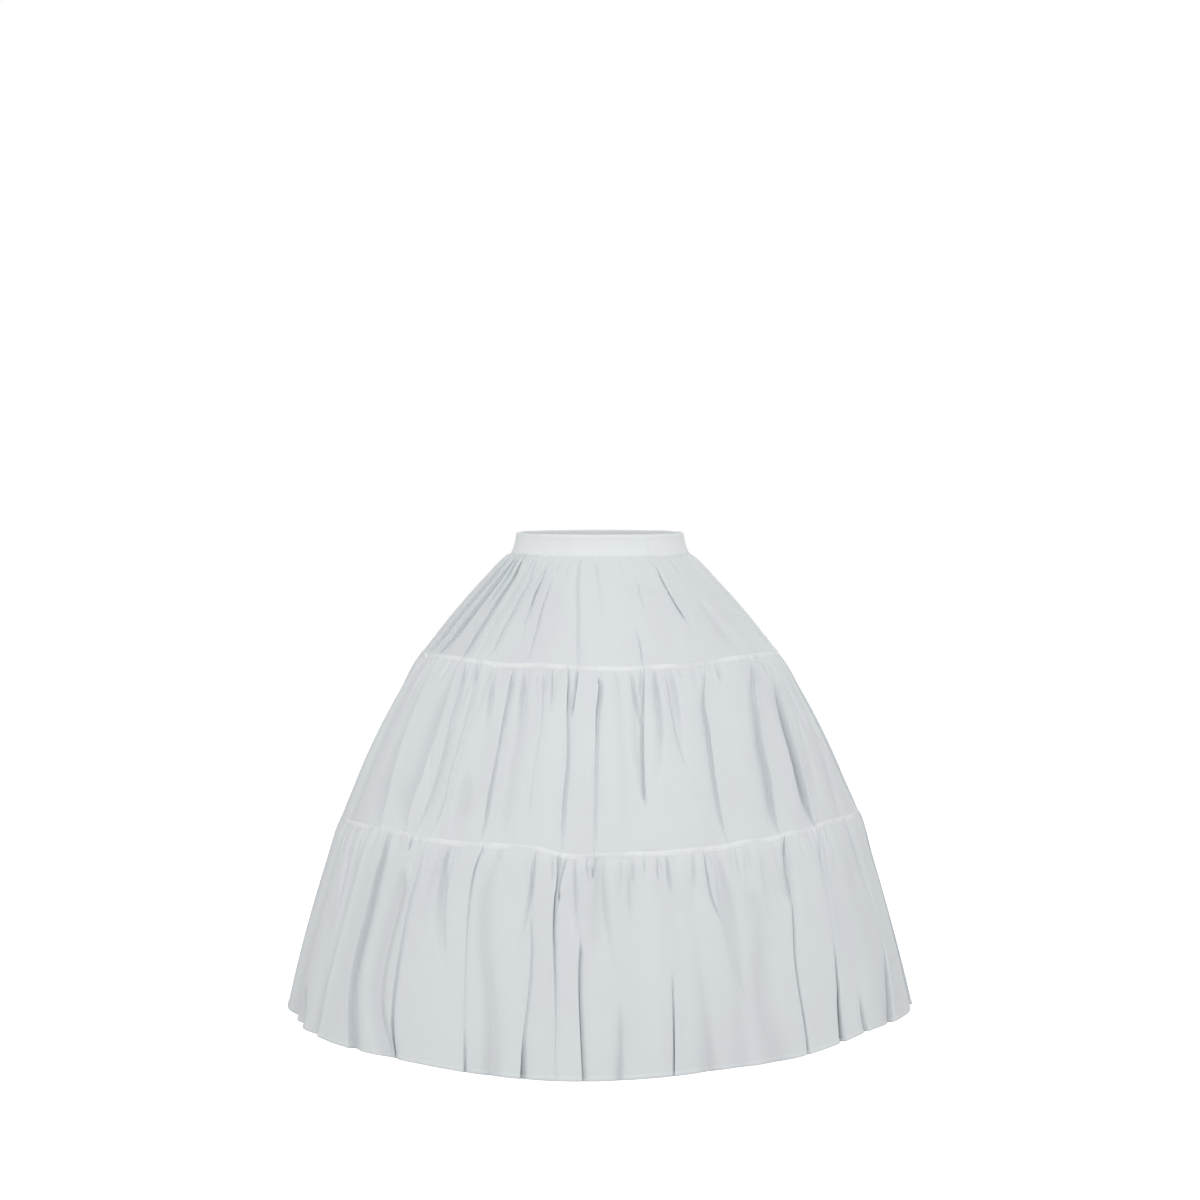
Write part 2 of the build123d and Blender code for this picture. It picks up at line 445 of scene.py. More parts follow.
    def add_seen(self, seen):
        """A fold from the photograph, its line straightened where a pixel spans a wide angle."""
        places = [self.seen_from(x, y) for x, y in seen.pixels]
        shares = np.array([share for share, _ in places])
        angles = np.array([angle for _, angle in places])
        line = np.polyval(np.polyfit(shares, angles, 1), shares)
        angles += (line - angles) * ease(TURNING_AWAY, FORESHORTENED, abs(angles.mean()))
        spread, overlap = ([size / 1000 for size in sizes] for sizes in (seen.spread, seen.overlap))
        self.creases.append(Crease(
            shares, angles, seen.lap, seen.depth, spread, overlap, seen.fade, seen.slot,
        ))

    def add_gathers(self, spacing, reach, depth, spread):
        """Small gathers all round below the seam: most of them short, some running on down the tier."""
        rng = np.random.default_rng(self.seed + 200)
        angle = -pi
        while angle < pi - 0.5 * spacing / self.radius(0.0):
            end = min(reach * rng.lognormal(0.0, 0.7) / self.slant(), 0.95)
            lean = rng.normal(0.0, 0.10) * end
            size = depth * rng.uniform(0.4, 1.4)
            width = spread * rng.uniform(0.7, 1.6)
            self.creases.append(Crease(
                np.array([-0.01, 0.5 * end, end]), angle + lean * np.array([0.0, 0.3, 1.0]), SOFT,
                (size, 0.4 * size), (width, 2.0 * width), (0.0, 0.0), (0.0, 0.9 * end),
            ))
            angle += spacing * rng.uniform(0.5, 1.6) / self.radius(0.0)

    def add_unseen(self, spacing, depth, spread):
        """Folds for the sides and back, of the same kinds as those at the front."""
        rng = np.random.default_rng(self.seed + 100)
        # Kinds by a draw: soft folds, lapped ones that end partway down, ones that rise from the hem
        soft_below, short_below, rising_below = 0.4, 0.55, 0.7
        angle = SEEN_ANGLE + spacing * 0.5 / self.radius(1.0)
        while angle < tau - SEEN_ANGLE:
            kind = rng.random()
            lap = LEFT_OVER if rng.random() < 0.5 else RIGHT_OVER
            lean = rng.uniform(-0.035, 0.035)
            shares = np.array([0.0, 0.3, 0.65, 1.0])
            wander = np.cumsum(rng.uniform(-0.012, 0.012, 4))
            fade = (0.0, 0.0)
            size = depth * rng.uniform(0.5, 1.3)
            if kind < soft_below:
                lap = SOFT
                size *= 0.6
            elif kind < short_below:
                shares = shares * rng.uniform(0.25, 0.6)
                fade = (0.0, shares[-1] * 0.7)
            elif kind < rising_below and not self.closed_below:
                shares = 1 - (1 - shares) * rng.uniform(0.3, 0.6)
                fade = (0.2, 0.0)
            reach = spread * rng.uniform(0.6, 1.4)
            self.creases.append(Crease(
                shares, angle + lean * shares + wander, lap, (size, size * rng.uniform(0.6, 1.4)),
                (0.6 * reach, reach), (0.003, rng.uniform(0.002, 0.004)), fade, rng.uniform(0.1, 0.7),
            ))
            angle += spacing * rng.uniform(0.45, 1.5) / self.radius(0.7)


# The three tiers' forms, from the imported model

WAIST_WIDE = half_width("waistband") + BAND_SPRING - BAND_TUCK
WAIST_DEEP = half_depth("waistband") + BAND_SPRING - BAND_TUCK
UPPER_SEAM = half_width("upper_tier")
MIDDLE_SEAM = half_width("middle_tier")
HEM = (half_width("lower_tier") + half_depth("lower_tier")) / 2 + HEM_SWING

UPPER_FOLDS = (
    Seen(((506, 560), (492, 576), (477, 592), (464, 610), (448, 630), (430, 650), (422, 660)), LEFT_OVER,
         (1.2, 1.2, 1.6), (5, 9), (2, 2), slot=0.2),
    Seen(((513, 560), (500, 576), (488, 592), (475, 610), (459, 630), (442, 650), (435, 660)), LEFT_OVER,
         (1.1, 1), (4, 8), (2, 2), slot=0.2),
    Seen(((518, 560), (508, 576), (496, 592), (483, 612)), LEFT_OVER, (0.8, 0.3), (3, 4), (2, 1),
         fade=(0, 0.12)),
    Seen(((527, 556), (514, 576), (503, 592), (492, 610), (479, 630), (468, 650), (463, 661)), LEFT_OVER,
         (1.1, 0.6, 0.8), (3, 4, 6), (2, 2), slot=0.3),
    Seen(((533, 560), (523, 576), (514, 592), (502, 610), (491, 630), (479, 650), (474, 661)), LEFT_OVER,
         (0.35, 0.25), (4, 6), (1, 1), slot=0.1),
    Seen(((540, 556), (532, 576), (523, 592), (514, 610), (503, 630), (494, 650), (487, 661)), LEFT_OVER,
         (0.35, 0.45), (3, 5), (1, 2), slot=0.3),
    Seen(((552, 560), (544, 576), (536, 592), (530, 610), (524, 630), (518, 650)), LEFT_OVER,
         (0.15, 0.55, 0.2, 0.12), (3, 4), (3, 1), fade=(0, 0.2)),
    Seen(((561, 562), (554, 576), (548, 592), (542, 610), (537, 630), (532, 650), (529, 662)), LEFT_OVER,
         (0.1, 0.28, 0.35, 0.3), (3, 4), (2, 3)),
    Seen(((580, 559), (579, 600), (579, 640), (579, 668)), RIGHT_OVER, (0.3, 0.3), (4, 5), (2.2, 2.6)),
    Seen(((597, 560), (599, 580), (602, 600), (606, 618), (609, 635)), LEFT_OVER, (0.3, 0.1, 0.05), (4, 7),
         (2, 1), fade=(0, 0.25)),
    Seen(((638, 580), (642, 597), (649, 615)), RIGHT_OVER, (0.3, 0.1), (2.5, 3), (2, 1), fade=(0.05, 0.12)),
    Seen(((634, 620), (640, 642), (643, 668)), RIGHT_OVER, (0.15, 0.55), (3, 3), (1, 3), fade=(0.2, 0)),
    Seen(((652, 560), (662, 578), (671, 594), (682, 612), (694, 630)), RIGHT_OVER,
         (0.2, 0.45, 0.45, 0.5, 0.15), (3, 4), (3.5, 3), fade=(0.06, 0.15), slot=0.75),
    Seen(((700, 596), (717, 620), (732, 640), (746, 655)), SOFT, (0.25, 0.4), (9, 12), fade=(0.15, 0)),
    Seen(((699, 560), (719, 584), (742, 612), (767, 640), (783, 660)), RIGHT_OVER, (0.25, 0.3, 0.6), (5, 8),
         (1, 1), slot=0.1),
)

MIDDLE_FOLDS = (
    Seen(((414, 672), (401, 690), (388, 715), (377, 745), (364, 775), (352, 805)), SOFT, (1.3, 1.1),
         (8, 14)),
    Seen(((434, 664), (422, 690), (411, 715), (400, 745), (392, 775), (385, 805), (381, 826)), RIGHT_OVER,
         (2.4, 2), (14, 24), (3, 2), slot=0),
    Seen(((459, 665), (448, 690), (438, 715), (430, 745), (422, 775), (412, 800), (406, 828)), RIGHT_OVER,
         (2.2, 1.5), (10, 22), (2.5, 1), slot=0),
    Seen(((466, 667), (460, 690), (452, 715), (445, 745), (437, 775), (429, 800), (418, 834)), LEFT_OVER,
         (0.6, 0.3, 0.35, 0.3, 0.3), (5, 7), (1, 1), slot=0.1),
    Seen(((478, 667), (473, 690), (467, 715), (459, 745), (450, 775), (445, 800), (436, 828)), LEFT_OVER,
         (0.45, 0.25, 0.22, 0.25), (6, 10), (1, 1), slot=0.1),
    Seen(((495, 668), (491, 690), (488, 715), (484, 740)), SOFT, (0.9, 0.5), (4, 6), fade=(0, 0.3)),
    Seen(((470, 760), (465, 785), (460, 810), (455, 835)), SOFT, (0.4, 0.4), (7, 9), fade=(0.15, 0)),
    Seen(((515, 668), (509, 690), (504, 715), (499, 745), (493, 775), (488, 800), (484, 834)), LEFT_OVER,
         (0.32, 0.3, 0.3, 0.4, 0.45), (4, 8), (3.5, 1.5)),
    Seen(((526, 668), (523, 690), (522, 715), (518, 745), (513, 775), (508, 805), (500, 842)), SOFT,
         (0.9, 0.3, 0.25, 0.35), (4, 8)),
    Seen(((544, 672), (543, 700), (541, 730), (536, 760), (531, 800), (530, 845)), LEFT_OVER,
         (0.45, 0.14, 0.13, 0.13), (6, 10), (1, 1)),
    Seen(((553, 671), (552, 690), (550, 715)), SOFT, (0.8, 0.4), (3, 5), fade=(0, 0.2)),
    Seen(((569, 672), (568, 705), (568, 760), (565, 790), (562, 855)), LEFT_OVER,
         (1.1, 0.3, 0.33, 0.33, 0.25), (4, 7)),
    Seen(((579, 667), (576, 688), (573, 705), (571, 720)), RIGHT_OVER, (0.8, 0.5), (3, 3), (2, 2),
         fade=(0, 0.1)),
    Seen(((600, 676), (598, 700), (597, 745), (596, 790), (595, 857)), LEFT_OVER,
         (1.7, 0.5, 0.28, 0.25, 0.22, 0.3), (4, 9), fade=(0.04, 0)),
    Seen(((616, 669), (620, 700), (624, 745), (627, 785), (630, 850)), SOFT, (0.4, 0.25, 0.15, 0.1),
         (5, 8)),
    Seen(((634, 676), (636, 700), (637, 745), (641, 785)), SOFT, (0.5, 0.2, 0.2), (4, 4), fade=(0, 0.15)),
    Seen(((644, 669), (644, 700), (644, 760), (646, 806)), RIGHT_OVER, (0.7, 0.45, 0.5, 0.4), (4, 5),
         (3, 3), fade=(0, 0.06)),
    Seen(((664, 669), (671, 700), (676, 728), (681, 748), (688, 768), (694, 784)), RIGHT_OVER,
         (0.3, 0.22, 0.05), (3, 3), (2.5, 1), fade=(0, 0.15)),
    Seen(((705, 668), (705, 700), (710, 728), (714, 760), (718, 790), (722, 815), (728, 849)), RIGHT_OVER,
         (0.3, 0.5, 0.5, 0.4, 0.35, 0.3), (7, 11), (3, 3), slot=0.1),
    Seen(((717, 664), (722, 684)), SOFT, (1.2, 0.8), (3, 4), fade=(0, 0.06)),
    Seen(((754, 665), (756, 690), (760, 715), (764, 745), (771, 775), (775, 805), (779, 838)), RIGHT_OVER,
         (0.6, 0.8, 0.8), (8, 11), (1, 2), slot=0),
    Seen(((764, 661), (770, 678)), SOFT, (1.6, 0.9), (3, 4), fade=(0, 0.06)),
    Seen(((776, 672), (783, 700), (789, 728), (794, 745), (803, 775), (811, 803), (818, 832)), RIGHT_OVER,
         (0.3, 1.7, 1.7, 0.9), (7, 9), (1, 3), fade=(0.1, 0), slot=0.3),
    Seen(((794, 700), (801, 730), (812, 765), (822, 800)), SOFT, (0.2, 0.1), (6, 10), fade=(0.15, 0.2)),
    Seen(((800, 690), (815, 730), (830, 770), (843, 815)), SOFT, (0.3, 0.5), (7, 12)),
)

LOWER_FOLDS = (
    Seen(((336, 850), (318, 900), (304, 950), (292, 1005)), SOFT, (1.2, 1.2), (10, 18)),
    Seen(((372, 835), (357, 865), (346, 900), (334, 945), (324, 985), (321, 1030)), RIGHT_OVER,
         (1.6, 0.6, 0.9, 2), (10, 16), slot=0),
    Seen(((306, 980), (298, 1012)), SOFT, (0.9, 1.5), (8, 12), fade=(0.1, 0)),
    Seen(((391, 832), (382, 855), (373, 880), (364, 915), (354, 950), (348, 980), (347, 1010), (350, 1045)),
         LEFT_OVER, (0.8, 0.8, 0.7, 0.8), (9, 12), (2, 2), slot=0.1),
    Seen(((414, 836), (407, 856)), LEFT_OVER, (1, 0.6), (4, 6), (3, 2), fade=(0, 0.06)),
    Seen(((404, 862), (394, 900), (384, 935), (376, 970), (373, 1000), (384, 1052)), SOFT, (0.7, 0.7),
         (10, 12), fade=(0.1, 0)),
    Seen(((428, 840), (419, 870), (409, 900), (402, 935), (396, 970), (391, 1010), (389, 1058)), LEFT_OVER,
         (0.2, 0.2, 0.25, 0.3, 0.7), (4, 4), (2, 4)),
    Seen(((452, 842), (444, 862), (441, 885), (439, 915), (441, 945), (445, 980)), SOFT, (1.4, 0.5, 0.2),
         (4, 7), fade=(0, 0.2)),
    Seen(((484, 848), (476, 866), (471, 888), (468, 915), (466, 960), (465, 1010), (464, 1071)), LEFT_OVER,
         (0.45, 0.25, 0.14, 0.11, 0.08, 0.45), (4, 3), (4, 3.5)),
    Seen(((495, 868), (485, 900), (483, 930), (486, 970), (490, 1010), (490, 1075)), SOFT,
         (0.3, 0.35, 0.45), (8, 10)),
    Seen(((530, 853), (532, 880), (531, 915), (532, 945), (531, 975), (528, 1005), (524, 1035),
         (519, 1081)), LEFT_OVER, (0.08, 0.1, 0.2, 0.17, 0.22, 0.85), (4, 6), (2, 5), slot=0.5),
    Seen(((560, 852), (557, 880), (555, 900), (554, 925), (555, 960), (556, 1000), (556, 1080)), LEFT_OVER,
         (3, 0.8, 0.42, 0.28, 0.18, 0.1, 0.07), (3, 3)),
    Seen(((567, 859), (562, 880), (557, 904)), RIGHT_OVER, (2.4, 0.8), (3, 3), fade=(0, 0.06)),
    Seen(((582, 938), (580, 970), (580, 1000), (581, 1030), (583, 1081)), LEFT_OVER, (0.4, 0.6), (3, 3.5),
         (2, 4.5), fade=(0.07, 0)),
    Seen(((596, 856), (591, 884)), SOFT, (3, 2), (2.5, 2.5), fade=(0, 0.06)),
    Seen(((599, 856), (597, 890), (595, 930), (596, 990)), SOFT, (0.7, 0.1), (8, 12), fade=(0, 0.25)),
    Seen(((630, 855), (630, 885), (632, 930)), SOFT, (0.5, 0.1), (3, 6), fade=(0, 0.15)),
    Seen(((620, 985), (621, 1030), (620, 1078)), SOFT, (0.05, 0.4), (4, 5), fade=(0.2, 0)),
    Seen(((657, 856), (658, 884)), RIGHT_OVER, (0.5, 0.3), (3, 4), (2, 2), fade=(0, 0.06)),
    Seen(((667, 854), (670, 878), (675, 905)), SOFT, (0.8, 0.1), (3, 5), fade=(0, 0.12)),
    Seen(((673, 972), (674, 1000), (675, 1030), (676, 1077)), RIGHT_OVER, (0.1, 0.35, 0.8), (2, 3), (3, 4),
         fade=(0.04, 0), slot=0.8),
    Seen(((688, 857), (691, 890), (696, 925), (700, 970), (705, 1010), (710, 1068)), SOFT, (0.1, 0.15, 0.5),
         (6, 9)),
    Seen(((703, 852), (708, 875), (713, 897), (721, 916), (728, 932)), RIGHT_OVER, (0.5, 0.3, 0.2), (3, 4),
         fade=(0, 0.12)),
    Seen(((718, 856), (726, 885), (733, 915), (738, 950), (741, 1000), (744, 1064)), SOFT, (0.45, 0.2, 0.2),
         (5, 12)),
    Seen(((734, 848), (738, 866), (742, 886)), RIGHT_OVER, (0.3, 0.1), (4, 5), fade=(0, 0.07)),
    Seen(((743, 880), (756, 902), (763, 930), (765, 970), (767, 1015), (779, 1062)), SOFT,
         (0.3, 0.35, 0.35), (12, 14), fade=(0.1, 0)),
    Seen(((766, 848), (773, 875), (781, 900), (784, 925)), SOFT, (0.2, 0.1), (4, 6), fade=(0, 0.15)),
    Seen(((783, 832), (787, 862), (792, 890), (795, 912)), RIGHT_OVER, (1.2, 0.45, 0.4, 0.3), (10, 9),
         (4, 4), fade=(0, 0.08), slot=0.1),
    Seen(((794, 900), (796, 930), (797, 955), (800, 980), (805, 1010), (809, 1035), (811, 1055)),
         RIGHT_OVER, (0.25, 0.3, 0.35, 0.4), (2.5, 3), (4, 4.5), fade=(0.04, 0), slot=0.8),
    Seen(((817, 828), (822, 855), (829, 880), (833, 915), (837, 950), (841, 985), (844, 1010), (848, 1036)),
         RIGHT_OVER, (0.3, 0.12, 0.1, 0.5, 2.2), (3, 2.5, 4), (3, 5), slot=0.6),
    Seen(((824, 820), (831, 850)), SOFT, (1.3, 0.6), (4, 6), fade=(0, 0.1)),
    Seen(((851, 828), (862, 858), (871, 885), (880, 915)), SOFT, (0.9, 0.5), (7, 10), fade=(0, 0.25)),
    Seen(((862, 985), (865, 1008), (870, 1031)), RIGHT_OVER, (0.3, 0.5), (5, 7), (2, 3), fade=(0.12, 0)),
    Seen(((885, 930), (892, 970), (896, 1019)), RIGHT_OVER, (0.3, 0.8), (12, 14), fade=(0.2, 0)),
)

# How much higher each edge hangs than level: angle from the front centre in degrees, metres
UPPER_SEAM_RISE = (
    (-180, 0.004), (-130, 0.004), (-90, 0.003), (-72, 0.006), (-60, 0.009), (-40, 0.008),
    (-30, 0.0055), (-18, 0.0075), (-9, 0.0055), (0, 0.0045), (12, 0.0042), (17, 0.0055),
    (28, 0.006), (38, 0.0085), (48, 0.011),
    (62, 0.010), (75, 0.006), (90, 0.004), (135, 0.003), (180, 0.004),
)
MIDDLE_SEAM_RISE = (
    (-180, 0.004), (-140, 0.001), (-95, 0.001), (-75, 0.004), (-57, 0.0105), (-50, 0.0125), (-44, 0.0105),
    (-37, 0.009), (-28, 0.009), (-17.5, 0.0095), (-12, 0.0075), (-8, 0.0015), (-4, 0.0), (0, 0.001),
    (6, 0.0025), (13, 0.0030), (20, 0.005), (27, 0.0065), (29, 0.0085), (37, 0.0095), (42, 0.0125),
    (50, 0.013), (54, 0.0165), (60, 0.016), (72, 0.012), (90, 0.007), (140, 0.001), (180, 0.004),
)
HEM_RISE = (
    (-180, 0.002), (-140, -0.001), (-110, 0.002), (-85, 0.0005), (-60, 0.0015), (-31, 0.003), (-20, 0.0),
    (-8, -0.002), (0, -0.0015), (12, 0.002), (20, 0.005), (35, 0.007), (45, 0.0125), (53, 0.016),
    (63, 0.0125), (75, 0.007), (100, 0.002), (150, -0.001), (180, 0.002),
)


def edge_rise(table):
    """A function that gives how much higher than level an edge hangs at an angle."""
    turns, rises = zip(*table)
    fine = np.linspace(-180, 180, 721)
    level = smooth_line(fine, turns, rises)
    return lambda angle: np.interp(np.degrees(wrapped(angle)), fine, level)


def make_tiers():
    """The three tiers, each with the folds seen in the photograph and those out of its sight."""
    band_bottom = bottom_of("waistband")
    upper = Tier(
        band_bottom + 0.001, bottom_of("upper_tier"), (WAIST_WIDE, WAIST_DEEP), (UPPER_SEAM, UPPER_SEAM),
        bow=0.007, puff=0.0045, waviness=0.0010, seed=3,
        room=((0.0, 0.002), (0.08, 0.007), (0.3, 0.012), (0.6, 0.012), (0.9, 0.007), (1.0, 0.0022)),
    )
    middle = Tier(
        bottom_of("upper_tier"), bottom_of("middle_tier"), (UPPER_SEAM - CLOTH, UPPER_SEAM - CLOTH),
        (MIDDLE_SEAM, MIDDLE_SEAM), bow=0.0105, puff=0.004, waviness=0.0018, seed=5,
        room=((0.0, 0.002), (0.05, 0.008), (0.2, 0.013), (0.5, 0.016), (0.88, 0.012), (1.0, 0.0028)),
    )
    lower = Tier(
        bottom_of("middle_tier"), bottom_of("lower_tier"), (MIDDLE_SEAM - CLOTH, MIDDLE_SEAM - CLOTH),
        (HEM, HEM), bow=0.0055, puff=0.0045, waviness=0.0025, seed=8,
        room=((0.0, 0.002), (0.04, 0.008), (0.2, 0.015), (0.5, 0.019), (0.87, 0.020), (1.0, 0.022)),
    )
    lower.closed_below = False
    upper.bottom_rise = middle.top_rise = edge_rise(UPPER_SEAM_RISE)
    middle.bottom_rise = lower.top_rise = edge_rise(MIDDLE_SEAM_RISE)
    lower.bottom_rise = edge_rise(HEM_RISE)
    for tier, seen in ((upper, UPPER_FOLDS), (middle, MIDDLE_FOLDS), (lower, LOWER_FOLDS)):
        for fold in seen:
            tier.add_seen(fold)
    upper.add_unseen(spacing=0.030, depth=0.5, spread=0.009)
    middle.add_unseen(spacing=0.032, depth=0.6, spread=0.010)
    lower.add_unseen(spacing=0.037, depth=0.65, spread=0.012)
    upper.add_gathers(spacing=0.0100, reach=0.030, depth=0.22, spread=0.0026)
    middle.add_gathers(spacing=0.0120, reach=0.040, depth=0.6, spread=0.0038)
    lower.add_gathers(spacing=0.0140, reach=0.042, depth=0.6, spread=0.0044)
    for above, below in ((upper, middle), (middle, lower)):
        below.seam_above = seam_line(above)
    return {"upper": upper, "middle": middle, "lower": lower}


def seam_line(tier):
    """How far the seam at a tier's bottom edge goes in at each angle, softened by its stitching."""
    angles = np.linspace(-pi, pi, 2400)
    depth = tier.folds(angles[None, :], np.array([1.0]))[0][0]
    side = 6
    span = 2 * side + 1
    soft = np.convolve(np.concatenate([depth[-side:], depth, depth[:side]]), np.ones(span) / span, "valid")
    return lambda angle: np.interp(wrapped(angle), angles, soft)


# Meshes

def points_of(node):
    """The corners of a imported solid's mesh."""
    return np.array([vertex.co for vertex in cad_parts[node].data.vertices])


def grid_piece(name, points, uv, around, capped=False):
    """A mesh of quads from rows of points.

    around joins the last column to the first, and capped closes the first and the last row.
    """
    rows, columns = points.shape[:2]
    here = np.arange(columns if around else columns - 1)
    beside = (here + 1) % columns
    faces = []
    corners = []
    for row in range(rows - 1):
        above, below = row * columns, (row + 1) * columns
        faces.append(np.stack([above + here, below + here, below + beside, above + beside], axis=1))
        corners.append(np.stack([
            uv[row, here], uv[row + 1, here], uv[row + 1, here + 1], uv[row, here + 1],
        ], axis=1))
    faces = np.concatenate(faces).tolist()
    corners = np.concatenate(corners).reshape(-1, 2)
    if capped:
        last = (rows - 1) * columns
        faces += [list(range(columns)), list(reversed(range(last, last + columns)))]
        corners = np.concatenate([corners, np.zeros((2 * columns, 2))])
    mesh = bpy.data.meshes.new(name)
    mesh.from_pydata(points.reshape(-1, 3).tolist(), [], faces)
    mesh.uv_layers.new(name=FLAT_CLOTH).data.foreach_set("uv", corners.astype(np.float32).ravel())
    mesh.polygons.foreach_set("use_smooth", np.ones(len(faces), bool))
    mesh.update()
    piece = bpy.data.objects.new(name, mesh)
    bpy.context.scene.collection.objects.link(piece)
    return piece


def cloth_uv(columns, width, lengths):
    """Places on the flat cloth, in metres, with one more column than the mesh to close it round."""
    grid = np.empty((len(lengths), columns + 1, 2))
    grid[..., 0] = np.linspace(0, width, columns + 1)
    grid[..., 1] = np.asarray(lengths)[:, None]
    return grid


def row_shares(count, top_run, bottom_run):
    """Shares of the rows of a tier, closer together towards both edges."""
    fine = np.linspace(0, 1, 2001)
    density = 1 + 2.2 * np.exp(-fine / top_run) + 1.6 * np.exp(-(1 - fine) / bottom_run)
    return crowded(np.linspace(0, 1, count), fine, density)


def tier_piece(name, tier, sizes, width, hem=0.0):
    """One tier of gathered cloth. hem is the width of the cloth turned up at its bottom edge."""
    shares = row_shares(sizes.tier_rows, top_run=0.10, bottom_run=0.06)
    if hem:
        turned = hem / tier.slant()
        # Rows of their own for the turned hem, counted up from its edge in widths of the turn
        hem_rows = np.array([1.15, 1.0, 0.85, 0.5, 0.2, 0.0])
        shares = np.unique(np.concatenate([shares[shares < 1 - 1.3 * turned], 1 - turned * hem_rows]))
    angles = tier.columns(shares, sizes.tier_columns)
    points, outward, _, depths = tier.surface(angles, shares)
    lengths = shares * tier.slant()
    if hem:
        bulge = sizes.hem_bulge * np.sin(pi * np.clip((shares - 1 + turned) / turned, 0, 1)) ** 0.7
        points = points + outward * bulge[:, None, None]
        edge_behind, turned_behind = 0.0012, 0.0020
        inner = [points[-1] - outward[-1] * edge_behind]
        for rise in (0.45, 0.9):
            row = int(np.argmin(np.abs(shares - (1 - rise * turned))))
            inner.append(points[row] - outward[row] * turned_behind)
        points = np.concatenate([points, np.array(inner)])
        depths = np.concatenate([depths, depths[-1:].repeat(len(inner), axis=0)])
        lengths = np.concatenate([lengths, lengths[-1] + hem * np.array([0.1, 0.5, 1.0])])
    piece = grid_piece(name, points, cloth_uv(sizes.tier_columns, width, lengths), True)
    # How deep in a fold each point lies, which the cloth's material turns into painted shade
    hollow = piece.data.attributes.new(PAINTED_SHADE_DEPTH, "FLOAT", "POINT")
    hollow.data.foreach_set("value", np.clip(depths / DEEP_FOLD, 0, 1).astype(np.float32).ravel())
    return piece


def welt_piece(name, above, below, sizes, seed):
    """The turned and topstitched seam between two tiers: a low ridge that lies on both of them."""
    angles = above.columns(np.array([1.0]), sizes.welt_columns)
    pucker = waves(angles[0], 0.0, seed, 100, 240, 8)
    patches = waves(angles[0], 0.0, seed + 1, 9, 60, 8)
    rows = []
    for down_by, out in WELT_PROFILE:
        over, under = min(down_by, 0.0), max(down_by, 0.0)
        upper, outward, down, _ = above.surface(angles, np.array([1 + over / above.slant()]))
        upper = upper[0] + down[0] * under
        lower, _, down, _ = below.surface(angles, np.array([under / below.slant()]))
        lower = lower[0] + down[0] * over
        # Round the seam the ridge passes from lying on the tier above to lying on the one below
        share = float(ease(-0.001, 0.003, down_by))
        raised = out * (1 + 0.4 * pucker + 0.5 * patches) if out > 0 else out + 0 * pucker
        rows.append(upper * (1 - share) + lower * share + outward[0] * raised[:, None])
    lengths = [down_by - WELT_PROFILE[0][0] for down_by, _ in WELT_PROFILE]
    width = tau * above.radius(1.0)
    return grid_piece(name, np.array(rows), cloth_uv(sizes.welt_columns, width, lengths), True)


def band_section(height):
    """The folded band's section, from its outer lower edge over the top and down inside."""
    half = BAND_THICKNESS / 2
    outer_overhang, inner_rise = 0.0006, 0.001
    outer = [(BAND_THICKNESS, z) for z in np.linspace(-height - outer_overhang, -half, 15)]
    turn = [(half + half * cos(at), half * sin(at) - half) for at in np.linspace(0.3, pi - 0.3, 6)]
    inner = [(0.0, z) for z in np.linspace(-half, -height + inner_rise, 10)]
    return outer + turn + inner


def band_piece(name, sizes):
    """The waistband: one strip folded over its top edge, open below where the skirt goes in."""
    height = -bottom_of("waistband")
    inner_wide = half_width("waistband") - BAND_FLARE - BAND_THICKNESS
    inner_deep = half_depth("waistband") - BAND_FLARE - BAND_THICKNESS
    section = band_section(height)
    angles = np.linspace(-pi, pi, sizes.band_columns, endpoint=False)
    ripple = waves(angles, 0.0, 21, 60, 130, 8)
    slack = waves(angles, 0.0, 22, 5, 16, 5)
    join = radians(sizes.band_join)
    stitch_width, ridge, groove, groove_beside = 0.0012, 0.0007, 0.0005, 0.0028
    edge_drawn_in = 0.0010
    rows = []
    for out, z in section:
        depth = min(-z / height, 1.0)
        lower = max(depth, 0.0)
        outer = out > BAND_THICKNESS / 2
        if outer:
            flare = BAND_FLARE * lower**1.25 + BAND_SPRING * lower**4
        else:
            flare = BAND_FLARE * lower
        wide, deep = inner_wide + out + flare, inner_deep + out + flare
        bend = (0.00012 + 0.0004 * depth**2) * ripple + 0.0003 * slack
        if outer:
            from_join = wrapped(angles - join) * wide
            seam = ridge * np.exp(-(from_join / stitch_width) ** 2)
            seam = seam - groove * np.exp(-((from_join - groove_beside) / stitch_width) ** 2)
            push = bend + seam - edge_drawn_in * float(ease(0.88, 1.03, -z / height))
        else:
            push = 0.3 * bend
        level = z + 0.0004 * slack * (1 - depth)
        rows.append(np.stack([
            (wide + push) * np.sin(angles), -(deep + push) * np.cos(angles), level,
        ], axis=-1))
    lengths = run_along(section)
    width = pi * (inner_wide + inner_deep + 2 * BAND_THICKNESS)
    uv = cloth_uv(sizes.band_columns, width, lengths)
    return grid_piece(name, np.array(rows), uv, True), (width, float(lengths[-1]))


